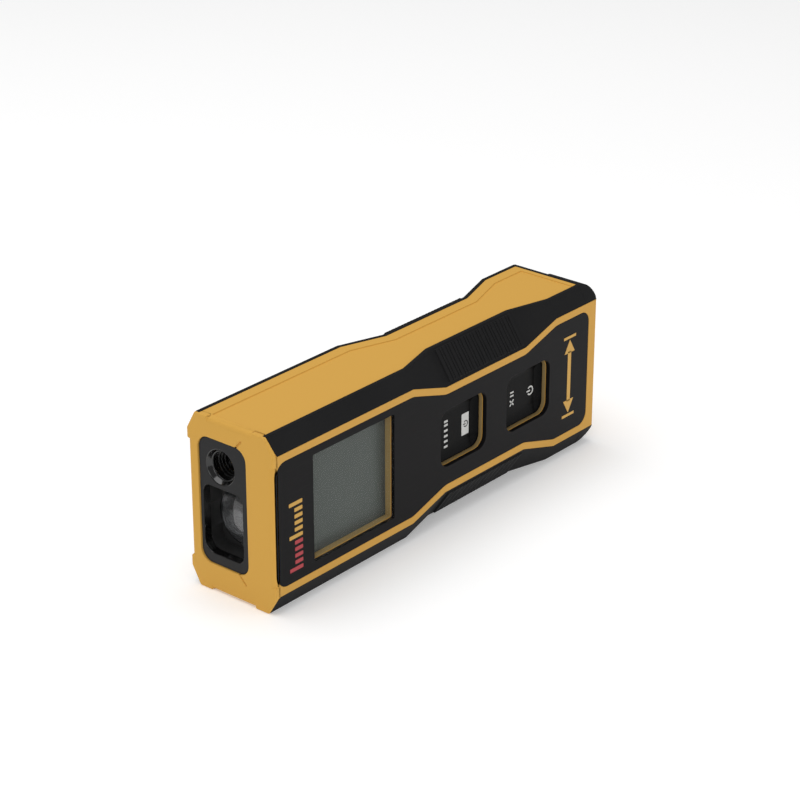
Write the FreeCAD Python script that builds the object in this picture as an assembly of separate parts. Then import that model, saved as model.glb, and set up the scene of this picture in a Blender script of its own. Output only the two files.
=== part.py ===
import FreeCAD, Part
import math
import os
from FreeCAD import Vector

# Pocket laser distance meter with two keys and two AAA cells.
# Working axes, in millimetres: x runs from the lens end to the tail, y is the depth behind the
# display face, and z is measured from the long middle plane. export() moves every solid so that
# the meter stands on one long side with its origin under its middle.

# ---- driving dimensions -------------------------------------------------------------------
LENGTH = 115.0
THICKNESS = 25.0
WIDTH = 42.0

HALF_WIDTH = WIDTH / 2
PARTING_Y = THICKNESS / 2          # the two housing halves meet here
REAR_STEP = 0.6                    # the rear half is this much shorter at the tail

# waist: where the long edge bevels start and stop getting deeper
WAIST_STATIONS = (46.0, 57.5, 87.0, 98.8)
FLAT_HALF = (16.7, 13.2)           # half height of the flat faces: full width, waist
FRONT_EDGE = (3.2, 6.3)            # depth of the grip's edge on the side: full width, waist
REAR_EDGE = (3.4, 7.2)
GRIP_LAND = 1.0                    # flat strip of grip on the side face
GRIP_THICK = 1.2
TAIL_RADIUS = 3.8
TAIL_BEVEL = 2.3
END_RADIUS = 0.9

# soft jacket: end bumper and side panels
JACKET_THICK = 1.2
END_WALL = 1.3                     # thickness of the bumper, where the grips start
CORNER_BLOCK_Y = 6.0
CORNER_BLOCK_Z = 6.8
BUMPER_BEVEL = 1.2
GRIP_TAIL = 110.6                  # the side panels stop and the tail strip starts here

# raised bars across the waist part of each grip
RIB_COUNT = 13
RIB_PITCH = 2.2
RIB_WIDTH = 1.3
RIB_HEIGHT = 0.45
RIB_START = 59.0

# housing walls
WALL = 1.9
FRONT_WALL = 3.0                   # depth of the inside face of the display wall
REAR_WALL = 1.8
INNER_END = 4.0                    # inside face of the housing's end wall
INSIDE_HALF = HALF_WIDTH - JACKET_THICK - WALL

# front plate, display and keys
PLATE_THICK = 1.2
PLATE_X = (1.0, 111.9)
PLATE_HALF = (14.9, 11.4)
PLATE_CORNER = 3.0
WINDOW_X = (12.7, 39.4)
WINDOW_Z = (-12.6, 13.0)
DISPLAY_X = (11.2, 41.0)
DISPLAY_HALF = 14.3
GLASS_THICK = 1.9
BACKLIGHT_THICK = 1.2
KEY_CENTRES = {"measure_key": 64.05, "clear_key": 88.3}
KEY_Z = 0.3
KEY_OPENING = (16.6, 14.3)
KEY_RADIUS = 2.8
KEY_GAP = 0.2
KEY_TOP = 2.1                      # depth of the key's face below the plate's face
KEY_FLANGE = (3.2, 3.8)            # depths of the flange that keeps the key in
STEM_END = 6.0

# boards
BOARD_Y = (7.2, 8.2)
BOARD_X = (10.5, 111.0)
BOARD_HALF = 16.8

# optics
OPTICS_Y = 15.66
LASER_Z = 9.7
LENS_Y = 15.2
LENS_Z = -4.3
LENS_RADIUS = 6.5
LASER_RADIUS = 4.0
BEZEL_Y = (7.9, 21.9)
BEZEL_Z = (-14.3, 16.0)
BEZEL_X = (0.4, 2.6)
BEZEL_RADIUS = 3.0
APERTURE_Y = (9.5, 21.0)
APERTURE_Z = (-11.8, 4.5)
OPTICS_OPENING = (7.5, 22.9, -14.6, 16.2)
BRACKET_END = 30.0

# batteries: two AAA cells side by side
CELL_RADIUS = 5.25
CELL_LENGTH = 44.5
CELL_Y = 17.8
CELL_Z = 5.5
NUB_LENGTH = 0.8
NUB_RADIUS = 1.9
TRAY_X = (61.2, 111.2)
TRAY_Y = (11.3, 22.3)
TRAY_HALF = 12.0
TRAY_WALL = 1.0
CONTACT_THICK = 0.4

# battery cover, its hinge and its latch
COVER_X = (60.25, 108.65)
COVER_HALF = 11.9
COVER_GAP = 0.25
HINGE_X = 110.2
HINGE_Y = 23.9
HINGE_ARM_RADIUS = 1.0
HINGE_ARM_Z = (9.3, 11.9)
HINGE_PIN = (0.6, 13.0)            # radius and outer end
LATCH_X = (60.4, 66.2)
LATCH_HALF = 3.9
LATCH_GAP = 0.3

# blank rear label
LABEL_X = (9.0, 39.5)
LABEL_HALF = 12.0
LABEL_CORNER = 1.5
LABEL_THICK = 0.15

# silicone mat under the keys
MAT_X = (54.0, 98.5)
MAT_TOP = 4.5
MAT_HALF = 9.2
MAT_WALL = 1.2

# fasteners
HOUSING_SCREWS = ((43.5, 13.8), (43.5, -13.8), (103.0, 14.6), (103.0, -14.6))
BOARD_SCREWS = ((53.0, 13.0), (53.0, -13.0))
SCREW_GAP = 0.05


# ---- helpers -------------------------------------------------------------------------------
def block(x0, x1, y0, y1, z0, z1):
    return Part.makeBox(x1 - x0, y1 - y0, z1 - z0, Vector(x0, y0, z0))


def rod(radius, start, end):
    """Round bar between two points."""
    axis = Vector(*end) - Vector(*start)
    return Part.makeCylinder(radius, axis.Length, Vector(*start), axis)


def on_face(y):
    return lambda x, z: Vector(x, y, z)


def on_end(x):
    return lambda y, z: Vector(x, y, z)


def on_side(z):
    return lambda x, y: Vector(x, y, z)


def outline(points, radii, place):
    """Closed wire through flat points, with each corner rounded by its own radius."""
    starts, middles, ends = [], [], []
    for index, point in enumerate(points):
        corner = Vector(*point, 0)
        back = (Vector(*points[index - 1], 0) - corner).normalize()
        ahead = (Vector(*points[(index + 1) % len(points)], 0) - corner).normalize()
        half_angle = back.getAngle(ahead) / 2
        radius = radii[index]
        cut = radius / math.tan(half_angle)
        inward = (back + ahead).normalize()
        starts.append(corner + back * cut)
        ends.append(corner + ahead * cut)
        middles.append(corner + inward * (radius / math.sin(half_angle) - radius))
    edges = []
    for index in range(len(points)):
        if radii[index] > 0:
            arc = [place(p.x, p.y) for p in (starts[index], middles[index], ends[index])]
            edges.append(Part.Arc(*arc).toShape())
        following = starts[(index + 1) % len(points)]
        run = [place(p.x, p.y) for p in (ends[index], following)]
        edges.append(Part.makeLine(*run))
    return Part.Wire(edges)


def prism(points, radii, place, push):
    """Flat outline pushed along a vector."""
    if not isinstance(radii, (list, tuple)):
        radii = [radii] * len(points)
    return Part.Face(outline(points, radii, place)).extrude(Vector(*push))


def rectangle(a0, a1, b0, b1):
    return [(a0, b0), (a1, b0), (a1, b1), (a0, b1)]


def swept(x0, x1, section):
    """Ruled solid along x whose flat section depends on how deep the waist is, 0 to 1."""
    waist = [(WAIST_STATIONS[0], 0), (WAIST_STATIONS[1], 1), (WAIST_STATIONS[2], 1), (WAIST_STATIONS[3], 0)]
    stations = [(x0, 0)] + [s for s in waist if x0 < s[0] < x1] + [(x1, 0)]
    wires = []
    for x, depth in stations:
        points = [Vector(x, y, z) for y, z in section(depth)]
        wires.append(Part.makePolygon(points + points[:1]))
    return Part.makeLoft(wires, True, True)


def between(pair, depth):
    return pair[0] + (pair[1] - pair[0]) * depth


def side(is_rear, depth_in):
    """y of a depth measured inwards from the display face or from the rear face."""
    return THICKNESS - depth_in if is_rear else depth_in


def mirrored(shape):
    return shape.mirror(Vector(0, 0, 0), Vector(0, 0, 1))


def waisted(x0, x1, half, half_waist):
    """Outline on the display face that narrows at the waist."""
    a, b, c, d = WAIST_STATIONS
    upper = [(x1, half), (d, half), (c, half_waist), (b, half_waist), (a, half), (x0, half)]
    return [(x, -z) for x, z in reversed(upper)] + upper


# ---- outer form ------------------------------------------------------------------------------
def envelope():
    """Outermost form: rounded tail corners, stepped halves and a bevelled rear tail edge."""
    halves = []
    for x_tail, y0, y1 in ((LENGTH, 0, PARTING_Y), (LENGTH - REAR_STEP, PARTING_Y, THICKNESS)):
        corners = rectangle(0, x_tail, -HALF_WIDTH, HALF_WIDTH)
        radii = [END_RADIUS, TAIL_RADIUS, TAIL_RADIUS, END_RADIUS]
        halves.append(prism(corners, radii, on_face(y0), (0, y1 - y0, 0)))
    whole = halves[0].fuse(halves[1])
    x_rear = LENGTH - REAR_STEP
    plan = [(0, 0), (LENGTH, 0), (LENGTH, THICKNESS - TAIL_BEVEL), (x_rear, THICKNESS - TAIL_BEVEL),
            (x_rear - TAIL_BEVEL, THICKNESS), (0, THICKNESS)]
    radii = [END_RADIUS, 0.6, 0, 0, 0, END_RADIUS]
    return whole.common(prism(plan, radii, on_side(-HALF_WIDTH), (0, 0, WIDTH)))


ENVELOPE = envelope()


def housing_section(is_rear):
    """Section of one housing half, notched where the rubber grips and the side panels lie."""
    edge = REAR_EDGE if is_rear else FRONT_EDGE
    reach = HALF_WIDTH - JACKET_THICK

    def section(depth):
        flat = between(FLAT_HALF, depth)
        upper = [(0, flat), (GRIP_THICK, flat), (between(edge, depth), reach), (PARTING_Y, reach)]
        full = [(y, -z) for y, z in reversed(upper)] + upper
        return [(side(is_rear, y), z) for y, z in full]
    return section


def cavity_section(is_rear):
    edge = REAR_EDGE if is_rear else FRONT_EDGE
    wall = REAR_WALL if is_rear else FRONT_WALL

    def section(depth):
        flat = between(FLAT_HALF, depth) - 0.9
        upper = [(wall, flat), (between(edge, depth) + 1.2, INSIDE_HALF), (PARTING_Y + 1, INSIDE_HALF)]
        full = [(y, -z) for y, z in reversed(upper)] + upper
        return [(side(is_rear, y), z) for y, z in full]
    return section


def tail_corners(is_rear):
    """Corner blocks at the tail that belong to the grips."""
    y0, y1 = sorted((side(is_rear, 0), PARTING_Y))
    z0 = FLAT_HALF[0]
    upper = block(GRIP_TAIL, LENGTH, y0, y1, z0, HALF_WIDTH)
    return upper, mirrored(upper)


def housing_shell(is_rear):
    x_tail = LENGTH - (REAR_STEP if is_rear else 0)
    shell = swept(END_WALL, x_tail, housing_section(is_rear))
    shell = shell.cut(swept(INNER_END, x_tail - WALL, cavity_section(is_rear)))
    for corner in tail_corners(is_rear):
        shell = shell.cut(corner)
    y0, y1, z0, z1 = OPTICS_OPENING
    shell = shell.cut(block(END_WALL - 1, INNER_END + 1, y0, y1, z0, z1))
    return shell.common(ENVELOPE)


def plate_outline():
    points = waisted(*PLATE_X, *PLATE_HALF)
    radii = [PLATE_CORNER, 6, 6, 6, 6, PLATE_CORNER]
    return points, radii + radii


def key_opening(name, margin, y0, y1):
    """Rounded key opening, grown or shrunk by a margin."""
    x, half_x, half_z = KEY_CENTRES[name], KEY_OPENING[0] / 2 + margin, KEY_OPENING[1] / 2 + margin
    corners = rectangle(x - half_x, x + half_x, KEY_Z - half_z, KEY_Z + half_z)
    return prism(corners, KEY_RADIUS + margin, on_face(y0), (0, y1 - y0, 0))


def post(x, z, radius, y0, y1):
    return rod(radius, (x, y0, z), (x, y1, z))


# ---- casings ----------------------------------------------------------------------------------
def front_housing():
    shell = housing_shell(False)
    points, radii = plate_outline()
    plate_seat = prism(points, radii, on_face(-1), (0, PLATE_THICK + 1, 0))
    shell = shell.cut(plate_seat)
    shell = shell.cut(block(*WINDOW_X, 0, FRONT_WALL + 1, *WINDOW_Z))
    for name in KEY_CENTRES:
        shell = shell.cut(key_opening(name, 0, 0, FRONT_WALL + 1))
    for x, z in HOUSING_SCREWS:
        shell = shell.fuse(post(x, z, 2.4, PLATE_THICK + 0.5, PARTING_Y))
        shell = shell.cut(post(x, z, 0.95, 8.0, PARTING_Y))
    for x, z in BOARD_SCREWS:
        shell = shell.fuse(post(x, z, 1.8, PLATE_THICK + 0.5, BOARD_Y[0]))
        shell = shell.cut(post(x, z, 0.75, 3.6, BOARD_Y[0]))
    return shell


def cover_opening():
    """Battery opening with the two slots for the hinge arms."""
    x0, x1 = COVER_X[0] - COVER_GAP, HINGE_X - 0.95
    half = COVER_HALF + COVER_GAP
    deep = THICKNESS - REAR_WALL - 1
    cut = prism(rectangle(x0, x1, -half, half), [2, 0.5, 0.5, 2], on_face(deep), (0, REAR_WALL + 2, 0))
    slot = block(x1 - 1, HINGE_X + 1.15, deep, THICKNESS + 1, HINGE_ARM_Z[0] - 0.2, half)
    return cut.fuse(slot).fuse(mirrored(slot))


def rear_housing():
    shell = housing_shell(True)
    inside = THICKNESS - REAR_WALL
    ear = block(108.9, 111.6, TRAY_Y[1], inside + 0.1, COVER_HALF + COVER_GAP, 13.9)
    for piece in (ear, mirrored(ear)):
        shell = shell.fuse(piece)
    for x in (70.0, 92.0):
        top = THICKNESS - REAR_EDGE[1] - 0.6
        rib = block(x - 0.6, x + 0.6, PARTING_Y + 1, top, TRAY_HALF, INSIDE_HALF + 0.2)
        shell = shell.fuse(rib).fuse(mirrored(rib))
    for x, z in HOUSING_SCREWS:
        shell = shell.fuse(post(x, z, 2.6, PARTING_Y, inside + 0.2))
        shell = shell.cut(post(x, z, 1.0, PARTING_Y, inside))
        shell = shell.cut(post(x, z, 1.95, inside - 1.0, THICKNESS))
    shell = shell.cut(cover_opening())
    pin_bore = HINGE_PIN[0] + 0.06
    bore = rod(pin_bore, (HINGE_X, HINGE_Y, COVER_HALF), (HINGE_X, HINGE_Y, HINGE_PIN[1] + 0.2))
    shell = shell.cut(bore).cut(mirrored(bore))
    return shell.cut(label_plate())


def soft_jacket():
    """Yellow soft part: the end bumper with its four corner blocks and the two side panels."""
    a, b, c, d = WAIST_STATIONS
    x0 = END_WALL / 2
    front = [(x0, FRONT_EDGE[0]), (a, FRONT_EDGE[0]), (b, FRONT_EDGE[1]),
             (c, FRONT_EDGE[1]), (d, FRONT_EDGE[0]), (GRIP_TAIL, FRONT_EDGE[0])]
    rear = [(GRIP_TAIL, REAR_EDGE[0]), (d, REAR_EDGE[0]), (c, REAR_EDGE[1]),
            (b, REAR_EDGE[1]), (a, REAR_EDGE[0]), (x0, REAR_EDGE[0])]
    corners = front + [(x, THICKNESS - y) for x, y in rear]
    panel = prism(corners, 0, on_side(HALF_WIDTH - JACKET_THICK), (0, 0, JACKET_THICK))
    halves = [swept(0, END_WALL, full_section(is_rear)) for is_rear in (False, True)]
    jacket = halves[0].fuse(halves[1])
    jacket = jacket.fuse(panel).fuse(mirrored(panel)).common(ENVELOPE)
    points, radii = plate_outline()
    jacket = jacket.cut(prism(points, radii, on_face(-1), (0, PLATE_THICK + 1, 0)))
    jacket = jacket.cut(bezel_block(0, END_WALL + 1, 0))
    size = BUMPER_BEVEL
    along_y = THICKNESS - 2 * CORNER_BLOCK_Y
    along_z = WIDTH - 2 * CORNER_BLOCK_Z
    top = [(-1, HALF_WIDTH + 1), (size, HALF_WIDTH), (0, HALF_WIDTH - size), (-1, HALF_WIDTH - size)]
    top = prism(top, 0, on_face(CORNER_BLOCK_Y), (0, along_y, 0))
    low = on_side(-HALF_WIDTH + CORNER_BLOCK_Z)
    near = prism([(-1, -1), (size, 0), (0, size), (-1, size)], 0, low, (0, 0, along_z))
    back = THICKNESS
    far = [(-1, back + 1), (size, back), (0, back - size), (-1, back - size)]
    far = prism(far, 0, low, (0, 0, along_z))
    for bevel in (top, mirrored(top), near, far):
        jacket = jacket.cut(bevel)
    return jacket


def grip(is_rear):
    """Rubber grip on one upper long edge, with a strip round the tail corner and waist ribs."""
    edge = REAR_EDGE if is_rear else FRONT_EDGE

    def section(depth):
        flat, foot = between(FLAT_HALF, depth), between(edge, depth)
        inner = HALF_WIDTH - GRIP_THICK
        points = [(0, flat), (foot - GRIP_LAND, HALF_WIDTH), (foot, HALF_WIDTH), (foot, inner),
                  (GRIP_THICK, flat)]
        return [(side(is_rear, y), z) for y, z in points]
    strip = swept(END_WALL, LENGTH, section)
    y0, y1 = sorted((side(is_rear, edge[0] - 0.5), PARTING_Y))
    bridge = block(GRIP_TAIL, LENGTH, y0, y1, HALF_WIDTH - GRIP_THICK, HALF_WIDTH)
    corner = tail_corners(is_rear)[0].common(swept(GRIP_TAIL, LENGTH, full_section(is_rear)))
    strip = strip.fuse(bridge).fuse(corner)
    for rib in grip_ribs(edge, is_rear):
        strip = strip.fuse(rib)
    return strip.common(ENVELOPE).removeSplitter()


def full_section(is_rear):
    """Bevelled outer section of one half."""
    edge = REAR_EDGE if is_rear else FRONT_EDGE

    def section(depth):
        flat, foot = between(FLAT_HALF, depth), between(edge, depth)
        upper = [(0, flat), (foot - GRIP_LAND, HALF_WIDTH), (PARTING_Y, HALF_WIDTH)]
        full = [(y, -z) for y, z in reversed(upper)] + upper
        return [(side(is_rear, y), z) for y, z in full]
    return section


def grip_ribs(edge, is_rear):
    """Raised bars across the waist part of a grip."""
    foot = edge[1] - GRIP_LAND
    low, high = Vector(0, 0, FLAT_HALF[1]), Vector(0, foot, HALF_WIDTH)
    along = high - low
    outward = Vector(0, -along.z, along.y).normalize() * RIB_HEIGHT
    base = [low + along * 0.08, low + along * 0.97]
    sunk = [p - outward for p in base]
    proud = [low + along * 0.12 + outward, low + along * 0.93 + outward]
    ring = [sunk[0], base[0], proud[0], proud[1], base[1], sunk[1]]
    ribs = []
    for index in range(RIB_COUNT):
        x = RIB_START + index * RIB_PITCH
        points = [Vector(x, side(is_rear, p.y), p.z) for p in ring]
        face = Part.Face(Part.makePolygon(points + points[:1]))
        ribs.append(face.extrude(Vector(RIB_WIDTH, 0, 0)))
    return ribs


# ---- front plate, display and keys ---------------------------------------------------------------
def front_plate():
    points, radii = plate_outline()
    plate = prism(points, radii, on_face(0), (0, PLATE_THICK, 0))
    plate = plate.cut(block(*WINDOW_X, -1, PLATE_THICK + 1, *WINDOW_Z))
    for name in KEY_CENTRES:
        plate = plate.cut(key_opening(name, 0, -1, PLATE_THICK + 1))
    return plate


def display_window():
    return block(*WINDOW_X, 0.05, PLATE_THICK, *WINDOW_Z)


def lcd_glass():
    return block(*DISPLAY_X, FRONT_WALL, FRONT_WALL + GLASS_THICK, -DISPLAY_HALF, DISPLAY_HALF)


def backlight_panel():
    y0 = FRONT_WALL + GLASS_THICK
    x0, x1 = DISPLAY_X
    return block(x0 + 0.9, x1 - 0.9, y0, y0 + BACKLIGHT_THICK, -DISPLAY_HALF + 0.9, DISPLAY_HALF - 0.9)


def lcd_frame():
    y0, half = FRONT_WALL + GLASS_THICK, DISPLAY_HALF
    frame = block(*DISPLAY_X, y0, BOARD_Y[0], -half, half)
    x0, x1 = DISPLAY_X[0] + 0.9, DISPLAY_X[1] - 0.9
    return frame.cut(block(x0, x1, y0 - 1, BOARD_Y[0] + 1, -half + 0.9, half - 0.9))


def display_ribbon():
    x = DISPLAY_X[1]
    ribbon = block(x, x + 0.3, FRONT_WALL + 0.5, BOARD_Y[0], -8, 8)
    return ribbon.fuse(block(x, x + 3.0, BOARD_Y[0] - 0.3, BOARD_Y[0], -8, 8))


def key(name):
    """Hard key cap: dished face, retaining flange and a stem that presses the dome."""
    x = KEY_CENTRES[name]
    cap = key_opening(name, -KEY_GAP, KEY_TOP, KEY_FLANGE[1])
    cap = cap.fuse(key_opening(name, 0.9, *KEY_FLANGE))
    dish = Part.makeSphere(90, Vector(x, KEY_TOP - 90 + 0.35, KEY_Z))
    cap = cap.cut(dish)
    half_x, half_z = 2.5, 2.0
    stem = block(x - half_x, x + half_x, KEY_FLANGE[1] - 0.1, STEM_END, KEY_Z - half_z, KEY_Z + half_z)
    return cap.fuse(stem)


def key_mat():
    """Silicone mat round the key stems, standing on the main board."""
    x0, x1 = MAT_X
    mat = block(x0, x1, MAT_TOP, BOARD_Y[0], -MAT_HALF, MAT_HALF)
    inner = MAT_HALF - MAT_WALL
    mat = mat.cut(block(x0 + MAT_WALL, x1 - MAT_WALL, MAT_TOP + 0.6, BOARD_Y[0] + 1, -inner, inner))
    for x in KEY_CENTRES.values():
        mat = mat.cut(block(x - 3.2, x + 3.2, 4, 6, KEY_Z - 2.7, KEY_Z + 2.7))
    return mat


def dome_switches():
    domes = []
    for x in KEY_CENTRES.values():
        base = rod(3.2, (x, BOARD_Y[0] - 0.2, KEY_Z), (x, BOARD_Y[0], KEY_Z))
        cap = Part.makeSphere(9.0, Vector(x, BOARD_Y[0] - 0.6 + 9.0, KEY_Z))
        cap = cap.common(rod(3.2, (x, BOARD_Y[0] - 1, KEY_Z), (x, BOARD_Y[0], KEY_Z)))
        domes.append(cap.fuse(base).removeSplitter())
    return Part.makeCompound(domes)


# ---- boards -----------------------------------------------------------------------------------
def main_board():
    board = block(*BOARD_X, *BOARD_Y, -BOARD_HALF, BOARD_HALF)
    for x, z in HOUSING_SCREWS:
        board = board.cut(post(x, z, 2.6, BOARD_Y[0] - 1, BOARD_Y[1] + 1))
    for x, z in BOARD_SCREWS:
        board = board.cut(post(x, z, 0.8, BOARD_Y[0] - 1, BOARD_Y[1] + 1))
    return board


def board_chips():
    """Processor, driver, memory and a row of small parts on the rear of the main board."""
    y = BOARD_Y[1]
    chips = [block(36, 45, y, y + 1.2, -6, 3), block(49, 54, y, y + 1.1, -8, -2),
             block(49, 53, y, y + 1.0, 3, 8), block(33, 35.5, y, y + 1.3, 6, 11)]
    for index in range(6):
        x = 37 + index * 2.6
        chips.append(block(x, x + 1.2, y, y + 0.7, 6, 8))
    return Part.makeCompound(chips)


def buzzer():
    y = BOARD_Y[1]
    body = rod(4.5, (80, y, 0), (80, y + 2.6, 0))
    return body.cut(rod(0.9, (80, y + 1.5, 0), (80, y + 3, 0)))


def receiver_board():
    return block(BRACKET_END, BRACKET_END + 1.0, 8.5, 22.6, -13.0, 12.0)


def photodiode():
    x = BRACKET_END
    return block(x - 1.0, x, LENS_Y - 1.2, LENS_Y + 1.2, LENS_Z - 1.2, LENS_Z + 1.2)


# ---- optics -------------------------------------------------------------------------------------
def bezel_block(x0, x1, inset):
    y0, y1 = BEZEL_Y[0] + inset, BEZEL_Y[1] - inset
    z0, z1 = BEZEL_Z[0] + inset, BEZEL_Z[1] - inset
    return prism(rectangle(y0, y1, z0, z1), BEZEL_RADIUS - inset, on_end(x0), (x1 - x0, 0, 0))


def aperture(x0, x1):
    corners = rectangle(*APERTURE_Y, *APERTURE_Z)
    return prism(corners, [2.0, 2.8, 2.0, 2.0], on_end(x0), (x1 - x0, 0, 0))


def lens_bezel():
    """Dark end plate with the flared beam hole and the receiving aperture."""
    plate = bezel_block(*BEZEL_X, 0)
    flare = Part.makeCone(4.15, 3.5, 1.2, Vector(BEZEL_X[0], OPTICS_Y, LASER_Z), Vector(1, 0, 0))
    bore = rod(3.3, (BEZEL_X[0], OPTICS_Y, LASER_Z), (BEZEL_X[1] + 1, OPTICS_Y, LASER_Z))
    return plate.cut(flare).cut(bore).cut(aperture(BEZEL_X[0] - 1, BEZEL_X[1] + 1))


def optics_bracket():
    """Rigid block that holds the laser barrel and the receiving lens in line."""
    x0 = BEZEL_X[1]
    body = block(x0, 9.5, 7.6, 22.8, -14.5, 16.1)
    body = body.fuse(block(9.4, BRACKET_END, 8.4, 22.8, -13.2, 14.9))
    body = body.cut(rod(LASER_RADIUS, (x0 - 1, OPTICS_Y, LASER_Z), (BRACKET_END + 1, OPTICS_Y, LASER_Z)))
    body = body.cut(aperture(x0 - 1, 6.0))
    body = body.cut(rod(LENS_RADIUS + SCREW_GAP, (x0 - 1, LENS_Y, LENS_Z), (7.8, LENS_Y, LENS_Z)))
    cone = Part.makeCone(6.2, 2.2, BRACKET_END - 7.7, Vector(7.7, LENS_Y, LENS_Z), Vector(1, 0, 0))
    body = body.cut(cone)
    return body.cut(rod(2.2, (BRACKET_END - 2, LENS_Y, LENS_Z), (BRACKET_END + 1, LENS_Y, LENS_Z)))


def domed_disc(radius, rim_x, back_x, sag, y, z):
    """Flat-backed lens with a domed front."""
    sphere_radius = (radius ** 2 + sag ** 2) / (2 * sag)
    ball = Part.makeSphere(sphere_radius, Vector(rim_x - sag + sphere_radius, y, z))
    return ball.common(rod(radius, (rim_x - sag - 1, y, z), (back_x, y, z)))


def receiving_lens():
    return domed_disc(LENS_RADIUS, 6.0, 7.8, 1.6, LENS_Y, LENS_Z)


def emitter_ring():
    """Stepped black sleeve at the mouth of the laser bore."""
    x0 = BEZEL_X[1]
    ring = rod(LASER_RADIUS - SCREW_GAP, (x0, OPTICS_Y, LASER_Z), (6.0, OPTICS_Y, LASER_Z))
    ring = ring.cut(rod(3.2, (x0 - 1, OPTICS_Y, LASER_Z), (4.2, OPTICS_Y, LASER_Z)))
    return ring.cut(rod(2.5, (x0 - 1, OPTICS_Y, LASER_Z), (7, OPTICS_Y, LASER_Z)))


def laser_barrel():
    barrel = rod(LASER_RADIUS - SCREW_GAP, (6.0, OPTICS_Y, LASER_Z), (22.0, OPTICS_Y, LASER_Z))
    return barrel.cut(rod(2.8, (5, OPTICS_Y, LASER_Z), (23, OPTICS_Y, LASER_Z)))


def collimating_lens():
    return domed_disc(2.75, 7.2, 8.6, 0.6, OPTICS_Y, LASER_Z)


def laser_diode():
    parts = rod(2.75, (19.8, OPTICS_Y, LASER_Z), (21.0, OPTICS_Y, LASER_Z))
    parts = parts.fuse(rod(1.8, (17.2, OPTICS_Y, LASER_Z), (19.8, OPTICS_Y, LASER_Z)))
    for turn in range(3):
        angle = math.radians(90 + turn * 120)
        y, z = OPTICS_Y + math.cos(angle), LASER_Z + math.sin(angle)
        parts = parts.fuse(rod(0.22, (20.9, y, z), (25.0, y, z)))
    return parts


# ---- power ----------------------------------------------------------------------------------------
def battery_tray():
    tray = block(*TRAY_X, *TRAY_Y, -TRAY_HALF, TRAY_HALF)
    x0, x1 = tray_inside()
    half = TRAY_HALF - TRAY_WALL
    return tray.cut(block(x0, x1, TRAY_Y[0] + TRAY_WALL, TRAY_Y[1] + 1, -half, half))


def tray_inside():
    return TRAY_X[0] + TRAY_WALL, TRAY_X[1] - TRAY_WALL


def battery_cell(z, points_to_tail):
    """AAA cell: can, insulating shoulder and positive nub."""
    x0, x1 = tray_inside()
    nub_end = x1 - CONTACT_THICK if points_to_tail else x0 + CONTACT_THICK
    way = -1 if points_to_tail else 1
    shoulder = nub_end + way * NUB_LENGTH
    base = nub_end + way * CELL_LENGTH
    can = rod(CELL_RADIUS, (shoulder, CELL_Y, z), (base, CELL_Y, z))
    return can.fuse(rod(NUB_RADIUS, (nub_end, CELL_Y, z), (shoulder, CELL_Y, z)))


def contact_springs():
    """Space of the two coil springs, each between its contact plate and a cell's flat end."""
    x0, x1 = tray_inside()
    springs = []
    for z, plate, way in ((CELL_Z, x0 + CONTACT_THICK, 1), (-CELL_Z, x1 - CONTACT_THICK, -1)):
        gap = x1 - x0 - 2 * CONTACT_THICK - CELL_LENGTH
        start, end = (plate, CELL_Y, z), (plate + way * gap, CELL_Y, z)
        springs.append(rod(3.1, start, end).cut(rod(2.3, start, end)))
    return Part.makeCompound(springs)


def contact_plates():
    x0, x1 = tray_inside()
    plates = []
    for z in (CELL_Z, -CELL_Z):
        for x in (x0, x1 - CONTACT_THICK):
            plates.append(block(x, x + CONTACT_THICK, CELL_Y - 4, CELL_Y + 4, z - 4, z + 4))
    return Part.makeCompound(plates)


def battery_cover():
    """Cover with two hinge arms at the tail end and a notch for its latch."""
    x0, x1 = COVER_X
    inside = THICKNESS - REAR_WALL
    corners = rectangle(x0, x1, -COVER_HALF, COVER_HALF)
    cover = prism(corners, [2, 0.3, 0.3, 2], on_face(inside), (0, REAR_WALL, 0))
    for flip in (1, -1):
        z0, z1 = sorted((flip * HINGE_ARM_Z[0], flip * HINGE_ARM_Z[1]))
        low = HINGE_Y - HINGE_ARM_RADIUS
        high = HINGE_Y + HINGE_ARM_RADIUS
        cover = cover.fuse(block(x1 - 2, HINGE_X, low, high, z0, z1))
        cover = cover.fuse(rod(HINGE_ARM_RADIUS, (HINGE_X, HINGE_Y, z0), (HINGE_X, HINGE_Y, z1)))
        start = (HINGE_X, HINGE_Y, flip * HINGE_ARM_Z[0])
        end = (HINGE_X, HINGE_Y, flip * HINGE_PIN[1])
        cover = cover.fuse(rod(HINGE_PIN[0], start, end))
    half = LATCH_HALF + LATCH_GAP
    notch = block(x0 - 1, LATCH_X[1] + LATCH_GAP, inside - 1, THICKNESS + 1, -half, half)
    return cover.cut(notch)


def cover_latch():
    """Springy tongue of the cover, with a finger lip at its free end."""
    x0, x1 = LATCH_X
    tongue = block(x0, x1, THICKNESS - 1.2, THICKNESS - 0.1, -LATCH_HALF, LATCH_HALF)
    return tongue.fuse(block(x0, x0 + 0.5, THICKNESS - 3.0, THICKNESS - 0.1, -LATCH_HALF, LATCH_HALF))


# ---- fasteners and label --------------------------------------------------------------------------
def screw(x, z, y_head, head, shank, y_tip):
    """Pan head screw seen from the rear, with a cross recess."""
    head_radius, head_height = head
    y_top = y_head + head_height
    body = rod(head_radius, (x, y_head, z), (x, y_top, z))
    body = body.fuse(rod(shank, (x, y_tip, z), (x, y_head, z)))
    arm, slot, deep = head_radius * 0.6, head_radius * 0.14, head_height * 0.6
    for half_x, half_z in ((arm, slot), (slot, arm)):
        body = body.cut(block(x - half_x, x + half_x, y_top - deep, y_top + 1, z - half_z, z + half_z))
    return body


def housing_screws():
    seat = THICKNESS - REAR_WALL - 1.0
    return Part.makeCompound([screw(x, z, seat, (1.8, 1.2), 0.9, 8.6) for x, z in HOUSING_SCREWS])


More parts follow.
